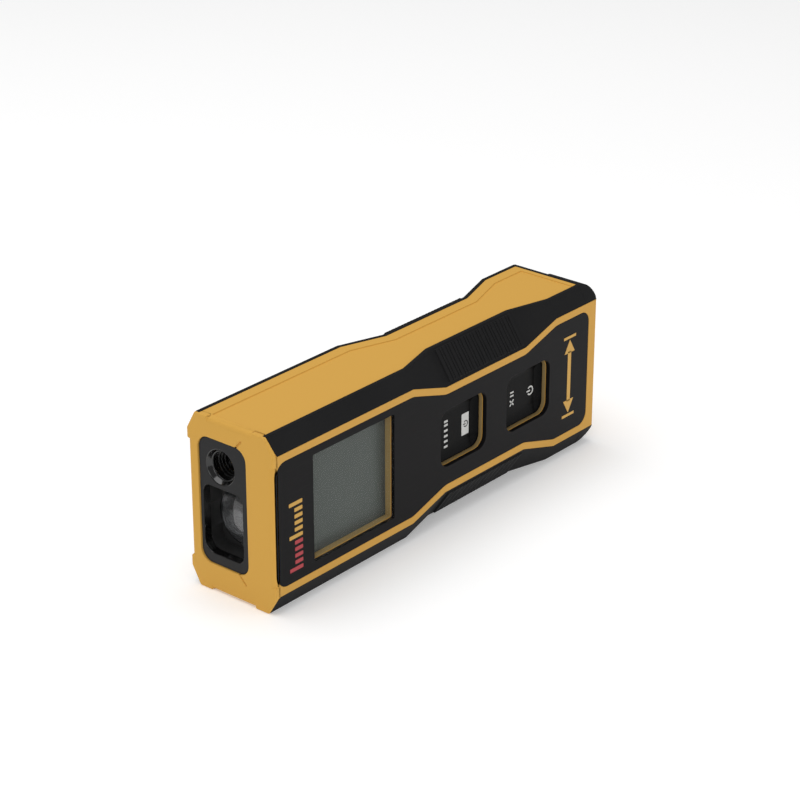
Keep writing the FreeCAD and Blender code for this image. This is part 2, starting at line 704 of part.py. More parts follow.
def board_screws():
    return Part.makeCompound([screw(x, z, BOARD_Y[1], (1.6, 1.1), 0.7, 4.0) for x, z in BOARD_SCREWS])


def label_plate():
    corners = rectangle(*LABEL_X, -LABEL_HALF, LABEL_HALF)
    return prism(corners, LABEL_CORNER, on_face(THICKNESS - LABEL_THICK), (0, LABEL_THICK, 0))


# ---- export ------------------------------------------------------------------------------------------
def export(name, shape):
    shape = shape.copy()
    shape.translate(Vector(-LENGTH / 2, -THICKNESS / 2, HALF_WIDTH))
    shape.exportStep(f"parts/{name}.step")
    print(f"{name:20s} valid={shape.isValid()} solids={len(shape.Solids)} volume={shape.Volume:.1f}")


def main():
    os.makedirs("parts", exist_ok=True)
    front_grip, rear_grip = grip(False), grip(True)
    nodes = {
        "front_housing": front_housing(),
        "rear_housing": rear_housing(),
        "soft_jacket": soft_jacket(),
        "grip_front_upper": front_grip,
        "grip_front_lower": mirrored(front_grip),
        "grip_rear_upper": rear_grip,
        "grip_rear_lower": mirrored(rear_grip),
        "front_plate": front_plate(),
        "display_window": display_window(),
        "lcd_glass": lcd_glass(),
        "backlight_panel": backlight_panel(),
        "lcd_frame": lcd_frame(),
        "display_ribbon": display_ribbon(),
        "key_mat": key_mat(),
        "dome_switches": dome_switches(),
        "main_board": main_board(),
        "board_chips": board_chips(),
        "buzzer": buzzer(),
        "receiver_board": receiver_board(),
        "photodiode": photodiode(),
        "lens_bezel": lens_bezel(),
        "optics_bracket": optics_bracket(),
        "receiving_lens": receiving_lens(),
        "emitter_ring": emitter_ring(),
        "laser_barrel": laser_barrel(),
        "collimating_lens": collimating_lens(),
        "laser_diode": laser_diode(),
        "battery_tray": battery_tray(),
        "battery_cell_upper": battery_cell(CELL_Z, True),
        "battery_cell_lower": battery_cell(-CELL_Z, False),
        "contact_springs": contact_springs(),
        "contact_plates": contact_plates(),
        "battery_cover": battery_cover(),
        "cover_latch": cover_latch(),
        "housing_screws": housing_screws(),
        "board_screws": board_screws(),
        "rear_label": label_plate(),
    }
    for name in KEY_CENTRES:
        nodes[name] = key(name)
    for name, shape in nodes.items():
        export(name, shape)


main()
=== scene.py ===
"""Looks of a pocket laser distance meter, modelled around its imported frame.

Pieces are modelled in millimetres on the meter's working axes: u runs from the lens end to the
tail, d is the depth behind the display face, and h is measured from the long middle plane.
settle() then moves each finished piece into the frame, in metres.
"""

import logging
import math
from collections.abc import Callable, Iterator
from contextlib import contextmanager
from dataclasses import dataclass
from enum import Enum
from typing import Any

import bmesh
import bpy
from mathutils import Matrix, Vector


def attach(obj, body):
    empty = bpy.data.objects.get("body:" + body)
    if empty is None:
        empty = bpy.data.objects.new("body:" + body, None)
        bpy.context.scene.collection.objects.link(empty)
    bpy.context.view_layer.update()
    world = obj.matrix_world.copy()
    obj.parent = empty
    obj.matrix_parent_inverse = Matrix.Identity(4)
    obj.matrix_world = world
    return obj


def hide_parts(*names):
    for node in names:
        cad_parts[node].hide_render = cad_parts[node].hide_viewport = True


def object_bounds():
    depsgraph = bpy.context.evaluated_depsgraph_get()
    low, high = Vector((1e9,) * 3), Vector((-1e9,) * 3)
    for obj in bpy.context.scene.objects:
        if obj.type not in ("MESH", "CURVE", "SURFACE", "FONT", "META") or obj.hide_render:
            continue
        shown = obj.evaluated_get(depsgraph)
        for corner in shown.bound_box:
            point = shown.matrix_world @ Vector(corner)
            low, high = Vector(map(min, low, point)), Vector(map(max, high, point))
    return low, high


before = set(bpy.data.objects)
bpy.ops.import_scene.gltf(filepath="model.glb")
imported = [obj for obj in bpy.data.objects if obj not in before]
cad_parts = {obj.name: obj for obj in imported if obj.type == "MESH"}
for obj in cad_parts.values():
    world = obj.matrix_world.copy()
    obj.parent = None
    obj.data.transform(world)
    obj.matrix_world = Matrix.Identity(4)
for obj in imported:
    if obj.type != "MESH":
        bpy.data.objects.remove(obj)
CAD_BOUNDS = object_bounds()

LOG = logging.getLogger("meter")
MM = 0.001
LENGTH, THICKNESS, WIDTH = (round(side / MM, 3) for side in CAD_BOUNDS[1] - CAD_BOUNDS[0])
HALF_WIDTH = WIDTH / 2
PARTING = THICKNESS / 2
TO_FRAME = Matrix.Scale(MM, 4) @ Matrix.Translation((-LENGTH / 2, -THICKNESS / 2, HALF_WIDTH))
ACROSS = Matrix.Scale(-1, 4, (0, 0, 1))     # mirror across the long middle plane
NEAR = 0.02                        # how close counts as the same place, in mm
MERGE = 0.002                      # vertices nearer than this are doubles, in mm
FACING = 0.9                       # a normal's part along an axis that a face looks along
ALONG_U = Vector((1, 0, 0))

Flat = tuple[float, float]
Piece = bpy.types.Object
Test = Callable[[Vector, Vector], bool]


# ---- working tools ---------------------------------------------------------------------------
class Body(Enum):
    """Bodies that a piece can ride on."""

    HOUSING = "housing"
    MEASURE_KEY = "measure_key"
    CLEAR_KEY = "clear_key"
    COVER = "battery_cover"
    LATCH = "cover_latch"


class Kind(Enum):
    """Mesh elements that can be picked."""

    VERT = "verts"
    EDGE = "edges"
    FACE = "faces"


class Join(Enum):
    """Ways to combine two solids."""

    CARVE = "DIFFERENCE"
    WELD = "UNION"
    CLIP = "INTERSECT"


class Plane(Enum):
    """Planes that a flat outline is drawn on."""

    FACE = "along u and h"
    END = "along d and h"
    SIDE = "along u and d"

    def lift(self, point: Flat, level: float) -> Vector:
        """Place a flat point at a level of this plane.

        Args:
            point: the two coordinates on the plane, in mm.
            level: the third coordinate, in mm.

        Returns:
            The point on the working axes.
        """
        first, second = point
        if self is Plane.FACE:
            return Vector((first, level, second))
        if self is Plane.END:
            return Vector((level, first, second))
        return Vector((first, second, level))


def activate(piece: Piece) -> None:
    """Select one piece alone and make it active."""
    bpy.ops.object.select_all(action="DESELECT")
    piece.select_set(True)
    bpy.context.view_layer.objects.active = piece


@contextmanager
def editing(piece: Piece, kind: Kind = Kind.FACE) -> Iterator[None]:
    """Open a piece in edit mode with nothing selected, and close it again.

    Args:
        piece: the mesh to edit.
        kind: the select mode.
    """
    activate(piece)
    bpy.ops.object.mode_set(mode="EDIT")
    bpy.ops.mesh.select_mode(type=kind.name)
    bpy.ops.mesh.select_all(action="DESELECT")
    try:
        yield
    finally:
        bpy.ops.object.mode_set(mode="OBJECT")


def everywhere(operator: Callable[..., set[str]], **settings: Any) -> None:
    """Apply an edit mode operator to the whole mesh."""
    bpy.ops.mesh.select_all(action="SELECT")
    operator(**settings)


def pick(piece: Piece, kind: Kind, test: Test) -> int:
    """Select the elements that pass a test, in edit mode.

    Args:
        piece: the mesh being edited.
        kind: what to select.
        test: takes an element's middle and its normal, or an edge's direction.

    Returns:
        How many elements were selected.
    """
    mesh = bmesh.from_edit_mesh(piece.data)
    count = 0
    for item in getattr(mesh, kind.value):
        if kind is Kind.VERT:
            middle, way = item.co, item.normal
        elif kind is Kind.FACE:
            middle, way = item.calc_center_median(), item.normal
        else:
            ends = [vert.co for vert in item.verts]
            middle, way = (ends[0] + ends[1]) / 2, (ends[1] - ends[0]).normalized()
        chosen = test(middle, way)
        item.select_set(chosen)
        count += chosen
    mesh.select_flush(True)
    bmesh.update_edit_mesh(piece.data)
    return count


def shift(piece: Piece, test: Test, offset: tuple[float, float, float]) -> None:
    """Move the vertices that pass a test.

    Args:
        piece: the mesh to change.
        test: takes a vertex's place and normal.
        offset: how far they move, in mm.
    """
    with editing(piece, Kind.VERT):
        if pick(piece, Kind.VERT, test):
            bpy.ops.transform.translate(value=offset)


def bisect(piece: Piece, place: Vector, normal: Vector, trim: bool = False) -> None:
    """Cut a piece's faces along a plane.

    Args:
        piece: the mesh to cut.
        place: a point on the plane, in mm.
        normal: the plane's normal.
        trim: whether what lies behind the plane is taken away and the cut closed.
    """
    with editing(piece):
        everywhere(bpy.ops.mesh.bisect, plane_co=place, plane_no=normal, use_fill=trim, clear_inner=trim)


def merged(piece: Piece) -> Piece:
    """Merge a piece's doubled vertices and turn its faces outwards."""
    with editing(piece):
        everywhere(bpy.ops.mesh.remove_doubles, threshold=MERGE)
        everywhere(bpy.ops.mesh.normals_make_consistent, inside=False)
    return piece


def modified(piece: Piece, kind: str, **settings: Any) -> Piece:
    """Add a modifier to a piece, set it up and apply it.

    Args:
        piece: the mesh to change.
        kind: the modifier's type.
        settings: the modifier's properties.

    Returns:
        The changed piece.
    """
    step = piece.modifiers.new(kind.lower(), kind)
    for name, value in settings.items():
        setattr(step, name, value)
    activate(piece)
    bpy.ops.object.modifier_apply(modifier=step.name)
    return piece


def combine(piece: Piece, tool: Piece, how: Join) -> Piece:
    """Carve, weld or clip a piece with another solid, which is used up.

    Args:
        piece: the solid to change.
        tool: the other solid.
        how: the way they are combined.

    Returns:
        The changed piece.
    """
    modified(piece, "BOOLEAN", operation=how.value, solver="EXACT", object=tool)
    bpy.data.objects.remove(tool)
    return piece


def smooth(piece: Piece, angle: float) -> Piece:
    """Shade a piece smooth, save at edges sharper than an angle in degrees."""
    activate(piece)
    bpy.ops.object.shade_smooth_by_angle(angle=math.radians(angle))
    return piece


def soften(piece: Piece, width: float, segments: int = 2, angle: float = 35.0) -> Piece:
    """Round a piece's sharp edges, keep it inside the meter's box and shade the rest smooth.

    Args:
        piece: the mesh to finish.
        width: width of the rounding, in mm.
        segments: facets across the rounding.
        angle: edges sharper than this are rounded, in degrees.

    Returns:
        The finished piece.
    """
    modified(piece, "BEVEL", width=width, segments=segments, limit_method="ANGLE",
             angle_limit=math.radians(angle), use_clamp_overlap=False)
    limits = ((0, LENGTH), (0, THICKNESS), (-HALF_WIDTH, HALF_WIDTH))
    for vert in piece.data.vertices:
        vert.co = [min(max(value, low), high) for value, (low, high) in zip(vert.co, limits)]
    return smooth(piece, angle + 5)


def adopt(name: str) -> Piece:
    """Apply the place and size of the newest primitive, and name it."""
    piece = bpy.context.object
    piece.name = name
    activate(piece)
    bpy.ops.object.transform_apply(location=True, rotation=True, scale=True)
    return piece


def block(name: str, u: Flat, d: Flat, h: Flat) -> Piece:
    """Box between three pairs of limits.

    Args:
        name: the piece's name.
        u: its reach along the meter, in mm.
        d: its reach in depth.
        h: its reach across the meter.

    Returns:
        The box.
    """
    bpy.ops.object.select_all(action="DESELECT")
    middle = [(low + high) / 2 for low, high in (u, d, h)]
    size = [high - low for low, high in (u, d, h)]
    bpy.ops.mesh.primitive_cube_add(size=1, location=middle, scale=size)
    return adopt(name)


@contextmanager
def ring(name: str, places: list[Vector], fill: str, kind: Kind) -> Iterator[Piece]:
    """Circle whose vertices are moved to an outline's corners, open in edit mode.

    Args:
        name: the piece's name.
        places: the corners in order, in mm.
        fill: the circle's fill type.
        kind: the select mode.

    Yields:
        The closed outline.
    """
    bpy.ops.object.select_all(action="DESELECT")
    bpy.ops.mesh.primitive_circle_add(vertices=len(places), fill_type=fill)
    piece = adopt(name)
    with editing(piece, kind):
        mesh = bmesh.from_edit_mesh(piece.data)
        for vert, place in zip(mesh.verts, places):
            vert.co = place
        bmesh.update_edit_mesh(piece.data)
        yield piece


def slab(name: str, points: list[Flat], plane: Plane, low: float, high: float) -> Piece:
    """Flat outline pushed from one level to another.

    Args:
        name: the piece's name.
        points: the outline's corners, in mm.
        plane: the plane that the outline is drawn on.
        low: level where the slab starts.
        high: level where it ends.

    Returns:
        The closed slab.
    """
    push = plane.lift((0, 0), high - low)
    with ring(name, [plane.lift(point, low) for point in points], "NGON", Kind.FACE) as piece:
        everywhere(bpy.ops.mesh.extrude_region_move, TRANSFORM_OT_translate={"value": push})
        everywhere(bpy.ops.mesh.normals_make_consistent, inside=False)
    return piece


def turned(name: str, profile: list[Flat], middle: Vector, plane: Plane, sides: int = 64) -> Piece:
    """Solid of revolution, spun from a closed profile.

    Args:
        name: the piece's name.
        profile: points as distance along the axis and radius, in mm.
        middle: a point on the axis.
        plane: the plane that the axis stands on: END for an axis along u, FACE for one along d.
        sides: facets around the axis.

    Returns:
        The closed solid.
    """
    places = []
    for along, radius in profile:
        spot = (along, middle.y) if plane is Plane.END else (middle.x, along)
        places.append(Vector((*spot, middle.z + radius)))
    fine = MERGE / 4
    with ring(name, places, "NOTHING", Kind.EDGE) as piece:
        everywhere(bpy.ops.mesh.spin, steps=sides, angle=math.tau, center=middle, axis=plane.lift((0, 0), 1))
        everywhere(bpy.ops.mesh.remove_doubles, threshold=fine)
        everywhere(bpy.ops.mesh.dissolve_degenerate, threshold=fine)
        everywhere(bpy.ops.mesh.delete_loose)
        everywhere(bpy.ops.mesh.normals_make_consistent, inside=False)
    return piece


def cut(piece: Piece, points: list[Flat], plane: Plane, low: float, high: float) -> Piece:
    """Carve a slab out of a piece.

    Args:
        piece: the solid to change.
        points: the slab's outline, in mm.
        plane: the plane that the outline is drawn on.
        low: level where the slab starts.
        high: level where it ends.

    Returns:
        The carved piece.
    """
    return combine(piece, slab("cutter", points, plane, low, high), Join.CARVE)


def copied(piece: Piece, name: str, move: Matrix) -> Piece:
    """Copy a piece with its own mesh, moved, turned or mirrored.

    Args:
        piece: the piece to copy.
        name: the copy's name.
        move: what is applied to the copy's mesh, in mm.

    Returns:
        The copy, with its faces outwards.
    """
    twin = piece.copy()
    twin.data = piece.data.copy()
    twin.name = name
    bpy.context.scene.collection.objects.link(twin)
    twin.data.transform(move)
    if move.determinant() < 0:
        twin.data.flip_normals()
    return twin


def joined(pieces: list[Piece], name: str) -> Piece:
    """Join pieces into one object.

    Args:
        pieces: one or more pieces.
        name: the object's name.

    Returns:
        The object.
    """
    whole = pieces[0]
    if len(pieces) > 1:
        activate(whole)
        for piece in pieces:
            piece.select_set(True)
        bpy.ops.object.join()
    whole.name = name
    return whole


def rectangle(first: Flat, second: Flat) -> list[Flat]:
    """Corners of a rectangle between two pairs of limits."""
    return [(first[0], second[0]), (first[1], second[0]), (first[1], second[1]), (first[0], second[1])]


def rounded(points: list[Flat], radii: float | list[float], steps: int = 8) -> list[Flat]:
    """Turn an outline's corners into arcs.

    Args:
        points: corner points.
        radii: one radius for all the corners, or one for each.
        steps: facets in each arc.

    Returns:
        The outline's points, arcs included.
    """
    flat = [Vector(point) for point in points]
    sizes = radii if isinstance(radii, list) else [radii] * len(flat)
    outline: list[Flat] = []
    for index, (corner, radius) in enumerate(zip(flat, sizes)):
        if radius == 0:
            outline.append(tuple(corner))
            continue
        back = (flat[index - 1] - corner).normalized()
        ahead = (flat[(index + 1) % len(flat)] - corner).normalized()
        half = back.angle(ahead) / 2
        middle = corner + (back + ahead).normalized() * (radius / math.sin(half))
        reach = radius / math.tan(half)
        start, end = corner + back * reach - middle, corner + ahead * reach - middle
        first = math.atan2(start.y, start.x)
        turn = (math.atan2(end.y, end.x) - first + math.pi) % math.tau - math.pi
        for step in range(steps + 1):
            angle = first + turn * step / steps
            outline.append((middle.x + radius * math.cos(angle), middle.y + radius * math.sin(angle)))
    return outline


def stroke(start: Flat, end: Flat, width: float) -> list[Flat]:
    """Corners of a straight stroke between two points.

    Args:
        start: where it starts.
        end: where it ends.
        width: its width, in mm.

    Returns:
        The four corners.
    """
    first, last = Vector(start), Vector(end)
    aside = Vector((first.y - last.y, last.x - first.x)).normalized() * (width / 2)
    return [tuple(point) for point in (first - aside, last - aside, last + aside, first + aside)]


def arc(middle: Flat, radius: float, span: Flat) -> list[Flat]:
    """Points along an arc.

    Args:
        middle: the arc's centre.
        radius: its radius, in mm.
        span: first and last angle, in degrees.

    Returns:
        The points.
    """
    steps = 24
    angles = [math.radians(span[0] + (span[1] - span[0]) * step / steps) for step in range(steps + 1)]
    return [(middle[0] + radius * math.cos(a), middle[1] + radius * math.sin(a)) for a in angles]


# ---- shader nodes ----------------------------------------------------------------------------
Colour = tuple[float, float, float]
Tree = bpy.types.NodeTree
Node = bpy.types.Node
Socket = bpy.types.NodeSocket
Value = float | tuple | Socket


def feed(tree: Tree, node: Node, inputs: dict[str | int, Value]) -> Node:
    """Set or link a node's inputs.

    Args:
        tree: the node tree.
        node: the node.
        inputs: values or output sockets by input name or number.

    Returns:
        The node.
    """
    for name, value in inputs.items():
        if isinstance(value, Socket):
            tree.links.new(value, node.inputs[name])
        else:
            node.inputs[name].default_value = value
    return node


def add_node(tree: Tree, kind: str, inputs: dict[str | int, Value] | None = None, **settings: Any) -> Node:
    """Add a node, set its properties, and set or link its inputs.

    Args:
        tree: the node tree.
        kind: the node's type.
        inputs: values or output sockets by input name or number.
        settings: properties of the node.

    Returns:
        The new node.
    """
    node = tree.nodes.new(kind)
    for name, value in settings.items():
        setattr(node, name, value)
    return feed(tree, node, inputs or {})


def math_node(tree: Tree, operation: str, first: Value, second: Value = 0.0, clamp: bool = False) -> Socket:
    """Add a Math node.

    Args:
        tree: the node tree.
        operation: what it works out.
        first: its first number or socket.
        second: its second number or socket.
        clamp: whether the result is kept between 0 and 1.

    Returns:
        Its output.
    """
    node = add_node(tree, "ShaderNodeMath", {0: first, 1: second}, operation=operation, use_clamp=clamp)
    return node.outputs[0]


def times(tree: Tree, first: Value, second: Value) -> Socket:
    """Multiply two numbers or sockets."""
    return math_node(tree, "MULTIPLY", first, second)


def object_place(tree: Tree) -> Socket:
    """Add a Texture Coordinate node and return its Object output."""
    return add_node(tree, "ShaderNodeTexCoord").outputs["Object"]


def mapped(tree: Tree, scale: tuple, **inputs: Value) -> Socket:
    """Object coordinates, stretched, and moved or turned by a Mapping node's other inputs."""
    return add_node(tree, "ShaderNodeMapping",
                    {"Vector": object_place(tree), "Scale": scale, **inputs}).outputs[0]


def noise(tree: Tree, place: Socket, scale: Value, detail: float, roughness: float = 0.5) -> Socket:
    """Add a noise texture and return its factor."""
    return add_node(tree, "ShaderNodeTexNoise", {"Vector": place, "Scale": scale, "Detail": detail,
                                                 "Roughness": roughness}).outputs["Fac"]


def cells(tree: Tree, place: Socket, scale: Value, **settings: Any) -> Socket:
    """Add a Voronoi texture and return its distance."""
    return add_node(tree, "ShaderNodeTexVoronoi", {"Vector": place, "Scale": scale},
                    **settings).outputs["Distance"]


def ramp(tree: Tree, value: Socket, low: float, high: float, falls: bool = False) -> Socket:
    """Spread a value between two limits over 0 to 1.

    Args:
        tree: the node tree.
        value: the value.
        low: the limit that gives 0.
        high: the limit that gives 1.
        falls: whether the low limit gives 1 and the high one 0.

    Returns:
        The spread value.
    """
    ends = {"To Min": 1.0, "To Max": 0.0} if falls else {}
    values = {"Value": value, "From Min": low, "From Max": high, **ends}
    return add_node(tree, "ShaderNodeMapRange", values).outputs[0]


def blended(tree: Tree, factor: Socket, first: Socket, second: Colour) -> Socket:
    """Mix a colour socket with a plain colour by a factor."""
    inputs = {"Factor": factor, 6: first, 7: (*second, 1.0)}
    return add_node(tree, "ShaderNodeMix", inputs, data_type="RGBA").outputs[2]


class Group:
    """Base of the shader node groups that the finishes share."""

    name = ""
    inputs: dict[str, float | tuple] = {}
    outputs: dict[str, str] = {"Mask": "NodeSocketFloat"}

    @classmethod
    def tree(cls) -> Tree:
        """Return the group's tree, built on first use."""
        found = bpy.data.node_groups.get(cls.name)
        if found:
            return found
        tree = bpy.data.node_groups.new(cls.name, "ShaderNodeTree")
        for label, default in cls.inputs.items():
            kind = "NodeSocketColor" if isinstance(default, tuple) else "NodeSocketFloat"
            socket = tree.interface.new_socket(label, in_out="INPUT", socket_type=kind)
            socket.default_value = default
        for label, kind in cls.outputs.items():
            tree.interface.new_socket(label, in_out="OUTPUT", socket_type=kind)
        given = tree.nodes.new("NodeGroupInput")
        result = tree.nodes.new("NodeGroupOutput")
        feed(tree, result, cls.build(tree, given.outputs))
        return tree

    @classmethod
    def build(cls, tree: Tree, given: bpy.types.NodeOutputs) -> dict[str, Socket]:
        """Build the group's nodes.

        Args:
            tree: the group's tree.
            given: the group's inputs, as sockets by name.

        Returns:
            What feeds each output.
        """
        raise NotImplementedError

    @classmethod
    def place(cls, tree: Tree, **values: Value) -> Node:
        """Place the group in a material with its own values."""
        return add_node(tree, "ShaderNodeGroup", values, node_tree=cls.tree())

    @classmethod
    def mask(cls, tree: Tree, **values: Value) -> Socket:
        """Place the group and return its mask."""
        return cls.place(tree, **values).outputs["Mask"]


class ColourDrift(Group):
    """Slow change of a colour's brightness over a surface."""

    name = "colour_drift"
    inputs = {"Color": (0.5, 0.5, 0.5, 1.0), "Scale": 60.0, "Spread": 0.1}
    outputs = {"Color": "NodeSocketColor"}

    @classmethod
    def build(cls, tree: Tree, given: bpy.types.NodeOutputs) -> dict[str, Socket]:
        """Scale the colour by a noise about one."""
        wave = noise(tree, object_place(tree), given["Scale"], 4.0)
        swing = times(tree, math_node(tree, "SUBTRACT", wave, 0.5), given["Spread"])
        factor = math_node(tree, "ADD", times(tree, swing, 2.0), 1.0)
        scaled = add_node(tree, "ShaderNodeVectorMath", {0: given["Color"], "Scale": factor},
                          operation="SCALE")
        return {"Color": scaled.outputs[0]}

    @classmethod
    def of(cls, tree: Tree, colour: Colour, scale: float, spread: float) -> Socket:
        """Place the group on a plain colour and return the drifting colour."""
        return cls.place(tree, Color=(*colour, 1.0), Scale=scale, Spread=spread).outputs["Color"]


class MouldedGrain(Group):
    """Fine bumps left by a textured mould, and the roughness that goes with them."""

    name = "moulded_grain"
    inputs = {"Scale": 3000.0, "Roughness": 0.5, "Spread": 0.1}
    outputs = {"Height": "NodeSocketFloat", "Roughness": "NodeSocketFloat"}

    @classmethod
    def build(cls, tree: Tree, given: bpy.types.NodeOutputs) -> dict[str, Socket]:
        """Mix a fine noise with cells for the height, and use a slow noise for the roughness."""
        place = object_place(tree)
        pits = times(tree, cells(tree, place, given["Scale"]), 0.45)
        height = math_node(tree, "ADD", noise(tree, place, given["Scale"], 3.0), pits)
        slow = noise(tree, place, 180.0, 5.0)
        swing = times(tree, math_node(tree, "SUBTRACT", slow, 0.5), given["Spread"])
        return {"Height": height, "Roughness": math_node(tree, "ADD", swing, given["Roughness"], clamp=True)}


class EdgeWear(Group):
    """Mask of edges that handling has polished."""

    name = "edge_wear"
    inputs = {"Radius": 0.0003, "Amount": 0.5}

    @classmethod
    def build(cls, tree: Tree, given: bpy.types.NodeOutputs) -> dict[str, Socket]:
        """Compare a rounded normal with the true one, broken up by a noise."""
        round_way = add_node(tree, "ShaderNodeBevel", {"Radius": given["Radius"]}, samples=4)
        true_way = add_node(tree, "ShaderNodeNewGeometry")
        match = add_node(tree, "ShaderNodeVectorMath",
                         {0: round_way.outputs[0], 1: true_way.outputs["Normal"]}, operation="DOT_PRODUCT")
        bend = math_node(tree, "SUBTRACT", 1.0, match.outputs["Value"])
        gain = math_node(tree, "MULTIPLY", bend, 4.0, clamp=True)
        broken = ramp(tree, noise(tree, object_place(tree), 420.0, 6.0), 0.4, 0.65)
        mask = times(tree, gain, broken)
        return {"Mask": math_node(tree, "MULTIPLY", mask, given["Amount"], clamp=True)}


class HairScratches(Group):
    """Mask of hairline scratches in two directions."""

    name = "hair_scratches"
    inputs = {"Amount": 0.3}

    @classmethod
    def build(cls, tree: Tree, given: bpy.types.NodeOutputs) -> dict[str, Socket]:
        """Keep thin bands of two stretched noises."""
        lines = []
        for turn, offset in ((0.5, 0.0), (-0.9, 3.7)):
            place = mapped(tree, (40.0, 40.0, 900.0), Location=(offset,) * 3, Rotation=(turn,) * 3)
            off = math_node(tree, "ABSOLUTE", math_node(tree, "SUBTRACT", noise(tree, place, 1.0, 2.0), 0.5))
            lines.append(ramp(tree, off, 0.0, 0.012, falls=True))
        return {"Mask": times(tree, math_node(tree, "MAXIMUM", *lines), given["Amount"])}


class SettledDust(Group):
    """Mask of pale specks and a thin film of dust."""

    name = "settled_dust"
    inputs = {"Amount": 0.1}

    @classmethod
    def build(cls, tree: Tree, given: bpy.types.NodeOutputs) -> dict[str, Socket]:
        """Add specks to a cloudy film."""
        place = object_place(tree)
        cloud = ramp(tree, noise(tree, place, 90.0, 8.0, 0.7), 0.45, 0.8)
        specks = ramp(tree, cells(tree, place, 700.0), 0.05, 0.12, falls=True)
        total = math_node(tree, "ADD", times(tree, cloud, 0.4), times(tree, specks, cloud))
        return {"Mask": math_node(tree, "MULTIPLY", total, given["Amount"], clamp=True)}


# ---- finishes --------------------------------------------------------------------------------
DUST = (0.55, 0.53, 0.5)
WEAR_REACH = 0.25                  # how far from an edge handling polishes it, in mm
COAT_ROUGHNESS = 0.15


@dataclass(frozen=True)
class Surface:
    """Base of the finishes."""

    name: str
    colour: Colour
    roughness: float = 0.5

    def wire(self, tree: Tree, shader: Node) -> None:
        """Wire the material.

        Args:
            tree: the material's tree.
            shader: its Principled BSDF.
        """
        raise NotImplementedError

    def material(self) -> bpy.types.Material:
        """Return the finish's material, built on first use."""
        found = bpy.data.materials.get(self.name)
        if found:
            return found
        material = bpy.data.materials.new(self.name)
        material.use_nodes = True
        self.wire(material.node_tree, material.node_tree.nodes["Principled BSDF"])
        return material


@dataclass(frozen=True)
class Finish(Surface):
    """Surface of one kind of moulding, coating or metal; lengths are in mm."""

    metallic: float = 0.0
    grain: float = 0.3
    depth: float = 0.012
    drift: float = 0.06
    worn: Colour = (0.5, 0.5, 0.5)
    wear: float = 0.2
    scratches: float = 0.1
    dust: float = 0.05
    coat: float = 0.0
    specular: float = 0.5

    def base(self, tree: Tree) -> Socket:
        """Colour of the surface before wear and dust."""
        return ColourDrift.of(tree, self.colour, 45.0, self.drift)

    def height(self, tree: Tree, grain: Node) -> Socket:
        """Relief of the surface, as a share of the finish's depth."""
        return grain.outputs["Height"]

    def wire(self, tree: Tree, shader: Node) -> None:
        """Lay wear, scratches and dust over the base colour and the grain.

        Args:
            tree: the material's tree.
            shader: its Principled BSDF.
        """
        grain = MouldedGrain.place(tree, Scale=1 / (self.grain * MM), Roughness=self.roughness,
                                   Spread=0.25 * self.roughness)
        wear = EdgeWear.mask(tree, Radius=WEAR_REACH * MM, Amount=self.wear)
        lines = HairScratches.mask(tree, Amount=self.scratches)
        dust = SettledDust.mask(tree, Amount=self.dust)
        marks = math_node(tree, "MAXIMUM", wear, times(tree, lines, 0.5))
        worn = blended(tree, marks, self.base(tree), self.worn)
        rough = math_node(tree, "ADD", grain.outputs["Roughness"], times(tree, lines, 0.25))
        relief = math_node(tree, "SUBTRACT", self.height(tree, grain), times(tree, lines, 0.4))
        bump = add_node(tree, "ShaderNodeBump", {"Height": relief, "Distance": self.depth * MM,
                                                 "Strength": 1.0})
        feed(tree, shader, {
            "Base Color": blended(tree, dust, worn, DUST),
            "Roughness": math_node(tree, "ADD", rough, times(tree, dust, 0.5), clamp=True),
            "Normal": bump.outputs[0], "Metallic": self.metallic, "Specular IOR Level": self.specular,
            "Coat Weight": self.coat, "Coat Roughness": COAT_ROUGHNESS})


@dataclass(frozen=True)
class BrushedFinish(Finish):
    """Metal with fine parallel brush lines."""

    metallic: float = 1.0
    along: tuple[float, float, float] = (60.0, 4000.0, 4000.0)

    def height(self, tree: Tree, grain: Node) -> Socket:
        """Relief of stretched lines."""
        return noise(tree, mapped(tree, self.along), 1.0, 4.0)


@dataclass(frozen=True)
class BoardFinish(Finish):
    """Solder mask over copper tracks, with tinned pads."""

    track: Colour = (0.05, 0.26, 0.11)

    def base(self, tree: Tree) -> Socket:
        """Mask colour with lighter tracks along the borders between cells."""
        place = mapped(tree, (1.0, 0.0, 1.0))
        second, first = (cells(tree, place, 260.0, distance="MANHATTAN", feature=rank)
                         for rank in ("F2", "F1"))
        gap = math_node(tree, "SUBTRACT", second, first)
        return blended(tree, math_node(tree, "LESS_THAN", gap, 0.12), super().base(tree), self.track)


@dataclass(frozen=True)
class ClearFinish(Surface):
    """Clear glass or plastic that lets light through to what lies behind it."""

    ior: float = 1.49
    shadow: float = 0.1

    def wire(self, tree: Tree, shader: Node) -> None:
        """Let light through, with faint scratches and dust.

        Args:
            tree: the material's tree.
            shader: its Principled BSDF.
        """
        lines, dust = HairScratches.mask(tree, Amount=0.12), SettledDust.mask(tree, Amount=0.1)
        marks = math_node(tree, "ADD", lines, dust)
        path = add_node(tree, "ShaderNodeLightPath")
        lets = times(tree, path.outputs["Is Shadow Ray"], 1.0 - self.shadow)
        feed(tree, shader, {
            "Base Color": ColourDrift.of(tree, self.colour, 90.0, 0.015),
            "Roughness": math_node(tree, "ADD", marks, self.roughness, clamp=True),
            "IOR": self.ior, "Transmission Weight": 1.0, "Alpha": math_node(tree, "SUBTRACT", 1.0, lets)})


